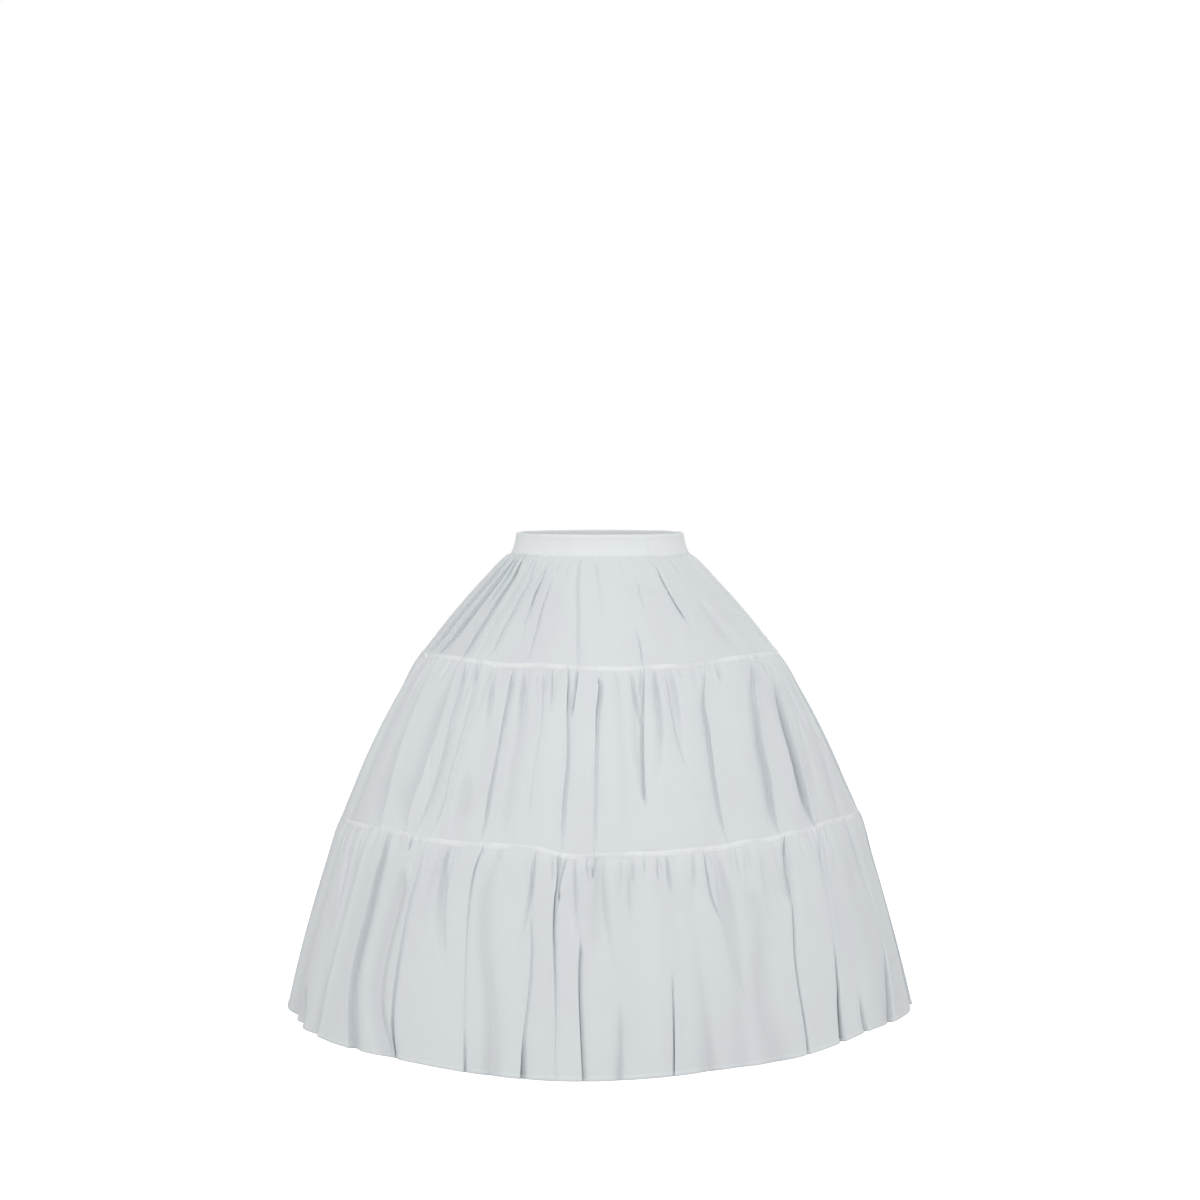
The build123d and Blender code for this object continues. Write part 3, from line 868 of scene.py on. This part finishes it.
def casing_piece(name, node, sizes, seed):
    """A strip of cloth folded round a hoop and stitched, open at the centre back."""
    low, high = bottom_of(node), top_of(node)
    reach = np.hypot(*points_of(node)[:, :2].T)
    thick = float(reach.max() - reach.min())
    middle, tall = (low + high) / 2, high - low
    section = []
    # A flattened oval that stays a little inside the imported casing
    less_thick, less_tall = 0.0002, 0.0003
    for turn in np.linspace(0.5 * pi, 2.5 * pi, 23)[:-1]:
        bulge = np.sign(cos(turn)) * abs(cos(turn)) ** 0.6
        rise = np.sign(sin(turn)) * abs(sin(turn)) ** 0.75
        section.append((bulge * (thick / 2 - less_thick), rise * (tall / 2 - less_tall)))
    lapped_edge = (0.0006, tall / 2 - 0.0004)
    section.append(lapped_edge)
    centre = half_width(node) - thick / 2
    gap = CASING_OPENING / 2 / centre
    angles = np.linspace(-pi + gap, pi - gap, sizes.casing_columns)
    pucker = waves(angles, 0.0, seed, 90, 210, 8)
    sag = waves(angles, 0.0, seed + 1, 6, 30, 6)
    rows = []
    for out, rise in section:
        pinch = 1 - 0.22 * (0.5 + 0.5 * pucker) * (abs(rise) / (tall / 2)) ** 2
        inward = 0.0002 * pucker + 0.00015 * sag
        reach = centre + out * pinch - np.abs(inward)
        rows.append(np.stack([
            reach * np.sin(angles), -reach * np.cos(angles), middle + rise * (1 - 0.05 * np.abs(pucker)),
        ], axis=-1))
    lengths = run_along(section)
    width = tau * centre - CASING_OPENING
    uv = cloth_uv(sizes.casing_columns, width, lengths)
    return grid_piece(name, np.array(rows), uv, False), (width, float(lengths[-1]))


def tape_line(node):
    """The middle of a packed tape at each of its levels, and the direction across it there."""
    corners = points_of(node)
    centres = []
    sides = []
    for level in sorted(set(np.round(corners[:, 2], 5)), reverse=True):
        ring = corners[np.abs(corners[:, 2] - level) < 1e-5]
        middle = (ring.max(axis=0) + ring.min(axis=0)) / 2
        side = np.linalg.svd(ring - middle)[2][0]
        if sides and np.dot(side, sides[-1]) < 0:
            side = -side
        centres.append(middle)
        sides.append(side)
    return np.array(centres), np.array(sides)


def tape_piece(name, node, sizes):
    """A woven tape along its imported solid, with soft ripples and thicker edges."""
    centres, sides = tape_line(node)
    run = run_along(centres)
    at = np.linspace(0, run[-1], sizes.tape_rows)
    centre = np.stack([np.interp(at, run, centres[:, axis]) for axis in range(3)], axis=1)
    side = np.stack([np.interp(at, run, sides[:, axis]) for axis in range(3)], axis=1)
    face = np.cross(side, np.gradient(centre, at, axis=0))
    face /= np.linalg.norm(face, axis=1)[:, None]
    phase = at[:, None]
    number = float(name.split("_")[-1])
    ripple = 0.00022 * np.sin(phase / 0.021 + number) + 0.00016 * np.sin(phase / 0.0083 + 2 * number)
    half, thin = sizes.tape_width / 2, sizes.tape_thickness / 2
    points = np.stack([
        centre + side * (across * half) + face * (out * thin + ripple * (1 - abs(across) * 0.5))
        for across, out in TAPE_SECTION
    ], axis=1)
    uv = cloth_uv(len(TAPE_SECTION), 2 * sizes.tape_width, at)
    return grid_piece(name, points, uv, True, capped=True), (sizes.tape_width, float(run[-1]))


# Nodes and the effects that materials share

class Nodes:
    """Ways to add nodes to one tree. A value is a number, a colour or the socket that gives it."""

    def __init__(self, tree):
        self.tree = tree

    def give(self, socket, value):
        if isinstance(value, (int, float, tuple)):
            socket.default_value = value
        else:
            self.tree.links.new(value, socket)

    def add(self, kind, inputs=(), **settings):
        """A node with its settings, and pairs of an input's name or number and its value."""
        node = self.tree.nodes.new("ShaderNode" + kind)
        for name, setting in settings.items():
            setattr(node, name, setting)
        for label, value in inputs:
            self.give(node.inputs[label], value)
        return node.outputs

    def math(self, operation, *values):
        return self.add("Math", enumerate(values), operation=operation)[0]

    def times(self, first, second):
        return self.math("MULTIPLY", first, second)

    def times_plus(self, value, factor, added):
        return self.math("MULTIPLY_ADD", value, factor, added)

    def between(self, value, low, high, to_low=0.0, to_high=1.0):
        """The value carried from one range to another, with soft ends."""
        values = enumerate((value, low, high, to_low, to_high))
        return self.add("MapRange", values, interpolation_type="SMOOTHSTEP")[0]

    def noise(self, place, scale, detail=2.0, roughness=0.5):
        """Noise over places. scale is one number, or one for each direction."""
        if isinstance(scale, tuple):
            place = self.add("VectorMath", ((0, place), (1, scale)), operation="MULTIPLY")[0]
            scale = 1.0
        inputs = (("Vector", place), ("Scale", scale), ("Detail", detail), ("Roughness", roughness))
        return self.add("TexNoise", inputs)["Fac"]

    def split(self, place):
        return self.add("SeparateXYZ", ((0, place),))

    def mixed(self, factor, first, second):
        """One colour blended towards another by a factor."""
        return self.add("Mix", ((0, factor), (6, first), (7, second)), data_type="RGBA")[2]

    def in_sight(self):
        """1 where the camera looks straight at a thing, or sees it in a shine or through glass."""
        paths = self.add("LightPath")
        seen = self.math("ADD", paths["Is Camera Ray"], paths["Is Glossy Ray"])
        return self.math("MINIMUM", self.math("ADD", seen, paths["Is Transmission Ray"]), 1.0)


def new_group(name, inputs, outputs):
    """An empty node group with its sockets: its nodes, what comes in and what goes out."""
    tree = bpy.data.node_groups.new(name, "ShaderNodeTree")
    for label, kind, value in inputs:
        socket = tree.interface.new_socket(label, in_out="INPUT", socket_type="NodeSocket" + kind)
        socket.default_value = value
    for label, kind in outputs:
        tree.interface.new_socket(label, in_out="OUTPUT", socket_type="NodeSocket" + kind)
    return Nodes(tree), tree.nodes.new("NodeGroupInput").outputs, tree.nodes.new("NodeGroupOutput").inputs


def weave_group(name):
    """Threads that pass over and under each other, with the unevenness of spun yarn."""
    nodes, start, end = new_group(
        name,
        (("Place", "Vector", (0, 0, 0)), ("Across per Metre", "Float", 1600.0),
         ("Along per Metre", "Float", 1500.0), ("Unevenness", "Float", 0.3)),
        (("Height", "Float"),),
    )
    wobble = nodes.times(nodes.noise(start["Place"], (90, 90, 1)), start["Unevenness"])
    threads = []
    for part, rate in zip(nodes.split(start["Place"]), ("Across per Metre", "Along per Metre")):
        turns = nodes.math("ADD", nodes.times(part, start[rate]), wobble)
        threads.append(nodes.math("SINE", nodes.times(turns, pi)))
    nodes.give(end["Height"], nodes.times_plus(nodes.times(*threads), 0.5, 0.5))
    return nodes.tree


def tone_group(name):
    """Slow changes of tone over the cloth, with thin slubs along the weft."""
    nodes, start, end = new_group(
        name,
        (("Place", "Vector", (0, 0, 0)), ("Position", "Vector", (0, 0, 0)),
         ("Cloth", "Color", (0.75, 0.78, 0.79, 1)), ("Shade", "Color", (0.6, 0.64, 0.66, 1)),
         ("Amount", "Float", 0.2)),
        (("Color", "Color"),),
    )
    cloud = nodes.between(nodes.noise(start["Position"], (16, 16, 5)), 0.3, 0.75)
    slub = nodes.between(nodes.noise(start["Place"], (22, 900, 1), roughness=0.6), 0.55, 0.78)
    factor = nodes.times(nodes.times_plus(slub, 0.35, cloud), start["Amount"])
    nodes.give(end["Color"], nodes.mixed(factor, start["Cloth"], start["Shade"]))
    return nodes.tree


def stitch_group(name):
    """One row of stitches along the cloth, at a distance down it."""
    nodes, start, end = new_group(
        name,
        (("Place", "Vector", (0, 0, 0)), ("Down", "Float", 0.003), ("Stitch Length", "Float", 0.003),
         ("Thread Width", "Float", 0.0005)),
        (("Stitch", "Float"), ("Pull", "Float")),
    )
    along, down, _ = nodes.split(start["Place"])
    away = nodes.math("ABSOLUTE", nodes.math("SUBTRACT", down, start["Down"]))
    line = nodes.math("DIVIDE", away, start["Thread Width"])
    beat = nodes.math("FRACT", nodes.math("DIVIDE", along, start["Stitch Length"]))
    centre = nodes.math("ABSOLUTE", nodes.math("SUBTRACT", beat, 0.5))
    dash = nodes.between(centre, 0.34, 0.42, 1.0, 0.0)
    nodes.give(end["Stitch"], nodes.times(nodes.between(line, 0.4, 1.0, 1.0, 0.0), dash))
    nodes.give(end["Pull"], nodes.between(line, 0.5, 4.0, 1.0, 0.0))
    return nodes.tree


def wear_group(name):
    """Rubbed patches and streaks, with the mask that they make."""
    nodes, start, end = new_group(
        name,
        (("Position", "Vector", (0, 0, 0)), ("Surface", "Color", (0.8, 0.8, 0.8, 1)),
         ("Rubbed", "Color", (0.6, 0.6, 0.6, 1)), ("Amount", "Float", 0.3)),
        (("Color", "Color"), ("Mask", "Float")),
    )
    patches = nodes.between(nodes.noise(start["Position"], 35.0, 4.0, 0.6), 0.45, 0.7)
    mask = nodes.times(patches, nodes.noise(start["Position"], (60, 60, 700)))
    factor = nodes.times(mask, start["Amount"])
    nodes.give(end["Color"], nodes.mixed(factor, start["Surface"], start["Rubbed"]))
    nodes.give(end["Mask"], mask)
    return nodes.tree


EFFECTS = {
    "Woven Threads": weave_group,
    "Cloth Tone": tone_group,
    "Stitch Row": stitch_group,
    "Handling Wear": wear_group,
}


# Materials

def rgba(colour, light=1.0):
    return (colour[0] * light, colour[1] * light, colour[2] * light, 1.0)


class Finish(Nodes):
    """A material being put together: its nodes, its shader and the places that its effects read."""

    def __init__(self, name, roughness, sheen=0.0):
        self.material = bpy.data.materials.new(name)
        self.material.use_nodes = True
        super().__init__(self.material.node_tree)
        self.shader = self.tree.nodes["Principled BSDF"].inputs
        self.give(self.shader["Roughness"], roughness)
        self.give(self.shader["Specular IOR Level"], 0.25)
        if sheen:
            self.give(self.shader["Sheen Weight"], sheen)
            self.give(self.shader["Sheen Roughness"], 0.5)
        self.place = self.add("UVMap", uv_map=FLAT_CLOTH)["UV"]
        self.position = self.add("TexCoord")["Object"]

    def effect(self, name, **values):
        """A shared effect in this material. Each value goes to the socket that it is named for."""
        group = bpy.data.node_groups.get(name) or EFFECTS[name](name)
        inputs = [(label.capitalize(), value) for label, value in values.items()]
        return self.add("Group", inputs, node_tree=group)

    def tone(self, cloth, colours, amount):
        """The cloth's colour with its slow changes."""
        return self.effect(
            "Cloth Tone", place=self.place, position=self.position, cloth=rgba(cloth),
            shade=rgba(colours.cloth_shade), amount=amount,
        )["Color"]

    def threads(self, unevenness):
        return self.effect("Woven Threads", place=self.place, unevenness=unevenness)["Height"]

    def sewn(self, colour, height, down, thread, shown, pulled, raised):
        """The colour and height of a cloth with a row of stitches at a distance down it."""
        row = self.effect("Stitch Row", place=self.place, down=down)
        colour = self.mixed(self.times(row["Stitch"], shown), colour, rgba(thread))
        height = self.times_plus(row["Pull"], -pulled, height)
        return colour, self.times_plus(row["Stitch"], raised, height)

    def painted_fold_shade(self, colour, colours):
        """The cloth's colour with painted shade: drawn towards a darker one where the cloth lies deep in a
        fold.
        """
        depth = self.add("Attribute", attribute_name=PAINTED_SHADE_DEPTH)["Fac"]
        return self.mixed(self.between(depth, 0.1, 1.0), colour, rgba(colours.hollow))

    def done(self, colour, height, distance, strength):
        """The material, with its colour and its relief joined to the shader."""
        relief = self.add("Bump", (("Distance", distance), ("Strength", strength), ("Height", height)))
        self.give(self.shader["Base Color"], colour)
        self.give(self.shader["Normal"], relief["Normal"])
        return self.material


def cotton(name, colours):
    """The skirt's fine matte cotton as it starts: its finish, colour and height."""
    finish = Finish(name, roughness=0.92, sheen=0.05)
    colour = finish.tone(colours.cloth, colours, amount=0.9)
    crumple = finish.noise(finish.position, scale=55.0, detail=3.0)
    return finish, colour, finish.times_plus(finish.threads(0.5), 0.10, finish.times(crumple, 0.9))


def skirt_cloth(name, colours):
    """Fine matte cotton: weave, slubs and soft crumples, with painted shade deep in the folds."""
    finish, colour, height = cotton(name, colours)
    return finish.done(finish.painted_fold_shade(colour, colours), height, distance=0.0006, strength=0.6)


def stitched_cloth(name, colours, doubled_from, doubled_to, stitch_row, lighter):
    """The skirt's cotton where it is doubled between two distances down it, with a row of stitches. The
    doubled stripe is lighter, partly as whiter doubled cloth and partly as a painted highlight broken in
    patches along it. Deep in folds the cloth gets painted shade.
    """
    finish, colour, height = cotton(name, colours)
    soft = 0.0024
    down = finish.split(finish.place)[1]
    doubled_and_highlight = finish.times(
        finish.between(down, doubled_from, doubled_from + soft),
        finish.between(down, doubled_to - soft, doubled_to, 1.0, 0.0),
    )
    # Painted highlight: noise breaks the lighter doubled stripe into bright patches along its length
    along = finish.noise(finish.position, (22, 22, 22), roughness=0.6)
    doubled_and_highlight = finish.times(doubled_and_highlight, finish.between(along, 0.36, 0.56, 0.25, 1.0))
    colour = finish.mixed(finish.times(doubled_and_highlight, lighter), colour, rgba(colours.doubled_and_highlight))
    colour, height = finish.sewn(
        colour, height, stitch_row, colours.thread, shown=0.3, pulled=0.3, raised=0.3,
    )
    return finish.done(finish.painted_fold_shade(colour, colours), height, distance=0.0006, strength=0.6)


def band_cloth(name, colours, stitch_rows):
    """Closer doubled cloth for the waistband and the casings, with a row of stitches near each edge."""
    finish = Finish(name, roughness=0.88, sheen=0.05)
    colour = finish.tone(colours.band, colours, amount=0.14)
    ribs = finish.noise(finish.place, (420, 12, 1))
    height = finish.times_plus(finish.threads(0.3), 0.15, finish.times(ribs, 0.55))
    for down in stitch_rows:
        colour, height = finish.sewn(
            colour, height, down, colours.thread, shown=0.5, pulled=0.6, raised=0.5,
        )
    return finish.done(colour, height, distance=0.0005, strength=0.7)


def tape_cloth(name, colours):
    """Herringbone tape."""
    finish = Finish(name, roughness=0.9, sheen=0.15)
    zigzag_width, ribs_per_metre = 0.005, 900
    across, along, _ = finish.split(finish.place)
    slope = finish.math("ADD", finish.math("PINGPONG", across, zigzag_width), along)
    lines = finish.math("SINE", finish.times(slope, tau * ribs_per_metre))
    height = finish.times_plus(lines, 0.5, 0.5)
    tone = finish.tone(colours.tape, colours, amount=0.25)
    colour = finish.mixed(finish.times(height, 0.12), tone, rgba(colours.cloth_shade))
    return finish.done(colour, height, distance=0.0003, strength=0.8)


def elastic_cloth(name, colours):
    """Ribbed woven elastic."""
    finish = Finish(name, roughness=0.85)
    ribs_per_metre = 700
    wear = finish.effect(
        "Handling Wear", position=finish.position, surface=rgba(colours.tape),
        rubbed=rgba(colours.cloth_shade), amount=0.3,
    )
    rows = finish.math("SINE", finish.times(finish.split(finish.position)[2], tau * ribs_per_metre))
    relief = finish.times_plus(rows, 0.5, 0.5)
    return finish.done(wear["Color"], relief, distance=0.0004, strength=0.8)


def smooth_plastic(name, colour, rubbed, roughness):
    """Drawn plastic with fine lengthwise marks and rubbed patches."""
    finish = Finish(name, roughness=roughness)
    wear = finish.effect(
        "Handling Wear", position=finish.position, surface=rgba(colour), rubbed=rgba(rubbed), amount=0.5,
    )
    gloss = finish.between(wear["Mask"], 0.0, 1.0, roughness, roughness + 0.2)
    finish.give(finish.shader["Roughness"], gloss)
    marks = finish.noise(finish.position, (25, 25, 1800))
    return finish.done(wear["Color"], marks, distance=0.0002, strength=0.5)


def floor_paint(name, colour, lift):
    """Pale floor. The camera sees it lighter than it lights the room, so that it reads white."""
    finish = Finish(name, roughness=0.9)
    patches = finish.times(finish.noise(finish.position, 1.5), 0.03)
    finish.give(finish.shader["Base Color"], finish.mixed(patches, rgba(colour), rgba(colour, 0.96)))
    glow = finish.mixed(finish.in_sight(), (0.0, 0.0, 0.0, 1.0), (lift, lift, lift, 1.0))
    finish.give(finish.shader["Emission Color"], glow)
    finish.give(finish.shader["Emission Strength"], 1.0)
    return finish.material


# What a user would change

def a_length(name, description, default, least):
    return bpy.props.FloatProperty(
        name=name, description=description, default=default, min=least, unit="LENGTH",
    )


def a_count(name, description, default, least):
    return bpy.props.IntProperty(name=name, description=description, default=default, min=least)


def a_tint(name, description, default):
    return bpy.props.FloatVectorProperty(
        name=name, description=description, default=default, subtype="COLOR", min=0, max=1,
    )


def a_power(name, description, default):
    return bpy.props.FloatProperty(name=name, description=description, default=default, min=0, unit="POWER")


def a_strength(name, description, default):
    return bpy.props.FloatProperty(name=name, description=description, default=default, min=0)


class PetticoatSizes(bpy.types.PropertyGroup):
    """Sizes of the cloth work and how finely it is meshed."""

    hem_width: a_length("Hem width", "Width of the cloth turned up at the hem", 0.006, 0.002)
    hem_bulge: a_length("Hem bulge", "How far the turned hem stands out", 0.0007, 0.0)
    upper_cloth_width: a_length("Upper tier width", "Cut width of the upper tier's lower edge", 1.45, 1.0)
    middle_cloth_width: a_length("Middle tier width", "Cut width of the middle tier", 2.20, 1.0)
    lower_cloth_width: a_length("Lower tier width", "Cut width of the lower tier", 3.00, 1.0)
    band_join: bpy.props.FloatProperty(
        name="Band join", description="Angle of the band's join from the front centre, in degrees",
        default=31.0,
    )
    tape_width: a_length("Tape width", "Width of the tapes that hang the hoops", 0.020, 0.005)
    tape_thickness: a_length("Tape thickness", "Thickness of the tapes", 0.0008, 0.0003)
    tier_rows: a_count("Tier rows", "Rows of quads down each tier", 56, 12)
    tier_columns: a_count("Tier columns", "Columns of quads round each tier", 1600, 200)
    welt_columns: a_count("Welt columns", "Columns of quads round each seam", 1500, 200)
    band_columns: a_count("Band columns", "Columns of quads round the waistband", 960, 120)
    casing_columns: a_count("Casing columns", "Columns of quads round each casing", 900, 120)
    tape_rows: a_count("Tape rows", "Rows of quads along each tape", 260, 20)


class PetticoatColours(bpy.types.PropertyGroup):
    """Colours of the cloth, the fittings and the floor."""

    cloth: a_tint("Cloth", "Colour of the tiers", (0.757, 0.800, 0.808))
    cloth_shade: a_tint("Cloth shade", "The bluer tone that the cloth drifts to", (0.748, 0.769, 0.802))
    # Painted shade: the darker tone that the cloth is drawn to deep in a fold
    hollow: a_tint("Hollows", "The duller tone of the cloth deep in a fold", (0.685, 0.712, 0.736))
    # Lighter doubled cloth, which on the seam welts is partly a painted highlight
    doubled_and_highlight: a_tint("Doubled cloth", "Colour where the cloth is turned and stitched", (0.880, 0.900, 0.900))
    band: a_tint("Band", "Colour of the waistband", (0.840, 0.870, 0.880))
    thread: a_tint("Thread", "Colour of the sewing thread", (0.860, 0.870, 0.870))
    tape: a_tint("Tape", "Colour of the tapes and the elastic", (0.780, 0.790, 0.770))
    strip: a_tint("Hoop strip", "Colour of the hoops", (0.800, 0.790, 0.740))
    sleeve: a_tint("Sleeve", "Colour of the hoop sleeves", (0.620, 0.650, 0.660))
    floor: a_tint("Floor", "Colour of the floor", (0.620, 0.620, 0.620))


class PetticoatStage(bpy.types.PropertyGroup):
    """Floor, lamps and room light."""

    floor_drop: a_length("Floor drop", "How far the floor lies below the waist", 0.95, 0.62)
    left_power: a_power("Left lamp", "Power of the lamp on the left", 24.0)
    right_power: a_power("Right lamp", "Power of the lamp on the right", 28.0)
    front_power: a_power("Front lamp", "Power of the broad lamp in front", 40.0)
    top_power: a_power("Top lamp", "Power of the lamp overhead", 11.0)
    back_power: a_power("Back lamp", "Power of the lamp behind", 55.0)
    room_light: a_strength("Room light", "Strength of the light from all sides", 0.40)
    floor_lift: a_strength("Floor lift", "Extra brightness of the floor as the camera sees it", 0.85)


# The steps that build the petticoat

def coat(thing, material):
    thing.data.materials.clear()
    thing.data.materials.append(material)


def dress(piece, material, slot, *nodes):
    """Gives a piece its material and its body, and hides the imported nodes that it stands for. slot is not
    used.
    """
    coat(piece, material)
    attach(piece, BODY)
    if nodes:
        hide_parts(*nodes)


TIERS = make_tiers()


class PETTICOAT_OT_tiers(bpy.types.Operator):
    """Add the three gathered tiers of the skirt and the welted seams between them"""

    bl_idname = "petticoat.tiers"
    bl_label = "Add tiers and seams"

    def execute(self, context):
        sizes, colours = context.scene.petticoat_sizes, context.scene.petticoat_colours
        upper, middle, lower = TIERS["upper"], TIERS["middle"], TIERS["lower"]
        drops = {name: tier.slant() for name, tier in TIERS.items()}
        plain = skirt_cloth("Skirt cloth", colours)
        hemmed = stitched_cloth(
            "Skirt cloth with hem", colours, doubled_from=drops["lower"] - sizes.hem_width,
            doubled_to=1.0, stitch_row=drops["lower"] - 0.85 * sizes.hem_width, lighter=0.15,
        )
        # The seam welts' stripe is made much lighter: partly the doubled cloth, partly a painted highlight
        # along the welt
        seam = stitched_cloth(
            "Seam welt cloth", colours, doubled_from=0.0002, doubled_to=0.0086, stitch_row=0.0066,
            lighter=0.85,
        )
        pieces = {
            "upper": tier_piece("upper_tier_cloth", upper, sizes, sizes.upper_cloth_width),
            "middle": tier_piece("middle_tier_cloth", middle, sizes, sizes.middle_cloth_width),
            "lower": tier_piece("lower_tier_cloth", lower, sizes, sizes.lower_cloth_width, sizes.hem_width),
        }
        dress(pieces["upper"], plain, "skirt_cloth", "upper_tier")
        dress(pieces["middle"], plain, "skirt_cloth", "middle_tier")
        dress(pieces["lower"], hemmed, "skirt_cloth", "lower_tier")
        upper_seam = welt_piece("upper_seam_welt", upper, middle, sizes, seed=31)
        middle_seam = welt_piece("middle_seam_welt", middle, lower, sizes, seed=37)
        for welt in (upper_seam, middle_seam):
            dress(welt, seam, "skirt_cloth")
        return {"FINISHED"}


class PETTICOAT_OT_band(bpy.types.Operator):
    """Add the folded waistband and finish the elastic inside it"""

    bl_idname = "petticoat.band"
    bl_label = "Add waistband"

    def execute(self, context):
        sizes, colours = context.scene.petticoat_sizes, context.scene.petticoat_colours
        band, flat = band_piece("waistband_cloth", sizes)
        cloth = band_cloth("Waistband cloth", colours, stitch_rows=(0.0034, 0.0245))
        dress(band, cloth, "band_cloth", "waistband")
        coat(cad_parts["waist_elastic"], elastic_cloth("Ribbed elastic", colours))
        return {"FINISHED"}


class PETTICOAT_OT_cage(bpy.types.Operator):
    """Add the hoop casings and the tapes, and finish the hoops and their sleeves"""

    bl_idname = "petticoat.cage"
    bl_label = "Add hoop cage"

    def execute(self, context):
        sizes, colours = context.scene.petticoat_sizes, context.scene.petticoat_colours
        casing_cloth = band_cloth("Casing cloth", colours, stitch_rows=(0.0050, 0.0255))
        strip = smooth_plastic("Hoop strip", colours.strip, colours.sleeve, roughness=0.42)
        sleeve = smooth_plastic("Hoop sleeve", colours.sleeve, colours.strip, roughness=0.35)
        for index, name in enumerate(HOOP_NAMES):
            casing, flat = casing_piece(f"{name}_casing_cloth", f"{name}_casing", sizes, 41 + index)
            dress(casing, casing_cloth, "skirt_cloth", f"{name}_casing")
            coat(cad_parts[f"{name}_hoop"], strip)
            coat(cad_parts[f"{name}_sleeve"], sleeve)
        twill = tape_cloth("Twill tape", colours)
        for node in TAPE_NAMES:
            tape, flat = tape_piece(f"hanging_{node}", node, sizes)
            dress(tape, twill, "tape_cloth", node)
        return {"FINISHED"}


class PETTICOAT_OT_stage(bpy.types.Operator):
    """Add the floor, the lamps, the room light and the camera"""

    bl_idname = "petticoat.stage"
    bl_label = "Add stage and camera"

    def execute(self, context):
        scene, stage = context.scene, context.scene.petticoat_stage
        self.add_floor(scene.petticoat_colours.floor, stage)
        for name, place, aim, size, watts in (
            ("Left lamp", (-3.2, -1.2, 1.2), -0.35, 1.4, stage.left_power),
            ("Right lamp", (3.2, -1.1, 1.0), -0.35, 1.8, stage.right_power),
            ("Front lamp", (-0.4, -3.6, 1.0), -0.3, 2.4, stage.front_power),
            ("Top lamp", (0.2, -0.9, 2.6), -0.3, 2.2, stage.top_power),
            ("Back lamp", (0.6, 3.6, 1.2), -0.3, 2.4, stage.back_power),
        ):
            self.add_lamp(scene, name, Vector(place), Vector((0, 0, aim)), size, watts)
        self.light_room(scene, stage.room_light)
        self.add_camera(scene)
        scene.view_settings.view_transform = "Standard"
        return {"FINISHED"}

    @staticmethod
    def add_floor(colour, stage):
        reach, rows = 9.0, 40
        line = np.linspace(-reach, reach, rows)
        across, along = np.meshgrid(line, line)
        points = np.stack([across, along, np.full_like(across, -stage.floor_drop)], axis=-1)
        floor = grid_piece("floor", points[::-1], cloth_uv(rows, 1.0, line), False)
        coat(floor, floor_paint("Floor paint", colour, stage.floor_lift))

    @staticmethod
    def add_lamp(scene, name, place, target, size, watts):
        lamp = bpy.data.lights.new(name, "AREA")
        lamp.shape = "DISK"
        lamp.size = size
        lamp.energy = watts
        holder = bpy.data.objects.new(name, lamp)
        holder.location = place
        holder.rotation_euler = (target - place).to_track_quat("-Z", "Y").to_euler()
        scene.collection.objects.link(holder)

    @staticmethod
    def light_room(scene, strength):
        """Even light from all sides, and white where the camera looks past the floor."""
        world = bpy.data.worlds.new("Room")
        world.use_nodes = True
        nodes = Nodes(world.node_tree)
        background = world.node_tree.nodes["Background"].inputs
        nodes.give(background["Color"], (1.0, 1.0, 1.0, 1.0))
        nodes.give(background["Strength"], nodes.between(nodes.in_sight(), 0.0, 1.0, strength, 1.0))
        scene.world = world

    @staticmethod
    def add_camera(scene):
        lens = bpy.data.cameras.new("Camera")
        lens.sensor_width = SENSOR_WIDTH * 1000
        lens.lens = FOCAL_PIXELS / PHOTO_PIXELS * SENSOR_WIDTH * 1000
        camera = bpy.data.objects.new("Camera", lens)
        camera.location = (0.0, -CAMERA_DISTANCE, CAMERA_HEIGHT)
        camera.rotation_euler = (pi / 2 - CAMERA_PITCH, 0.0, 0.0)
        scene.collection.objects.link(camera)
        scene.camera = camera


GROUPS = {
    "petticoat_sizes": PetticoatSizes,
    "petticoat_colours": PetticoatColours,
    "petticoat_stage": PetticoatStage,
}
STEPS = (PETTICOAT_OT_band, PETTICOAT_OT_tiers, PETTICOAT_OT_cage, PETTICOAT_OT_stage)


class PETTICOAT_PT_panel(bpy.types.Panel):
    """Steps that build the petticoat, in order"""

    bl_idname = "PETTICOAT_PT_panel"
    bl_label = "Petticoat"
    bl_space_type = "VIEW_3D"
    bl_region_type = "UI"
    bl_category = "Petticoat"

    def draw(self, context):
        for step in STEPS:
            self.layout.operator(step.bl_idname)
        for name, group in GROUPS.items():
            box = self.layout.box()
            for value in group.__annotations__:
                box.prop(getattr(context.scene, name), value)


def register():
    for name, group in GROUPS.items():
        bpy.utils.register_class(group)
        setattr(bpy.types.Scene, name, bpy.props.PointerProperty(type=group))
    for step in STEPS:
        bpy.utils.register_class(step)
    bpy.utils.register_class(PETTICOAT_PT_panel)


def unregister():
    bpy.utils.unregister_class(PETTICOAT_PT_panel)
    for step in reversed(STEPS):
        bpy.utils.unregister_class(step)
    for name, group in GROUPS.items():
        delattr(bpy.types.Scene, name)
        bpy.utils.unregister_class(group)


def main():
    register()
    bpy.ops.petticoat.band()
    bpy.ops.petticoat.tiers()
    bpy.ops.petticoat.cage()
    bpy.ops.petticoat.stage()


if __name__ == "__main__":
    main()
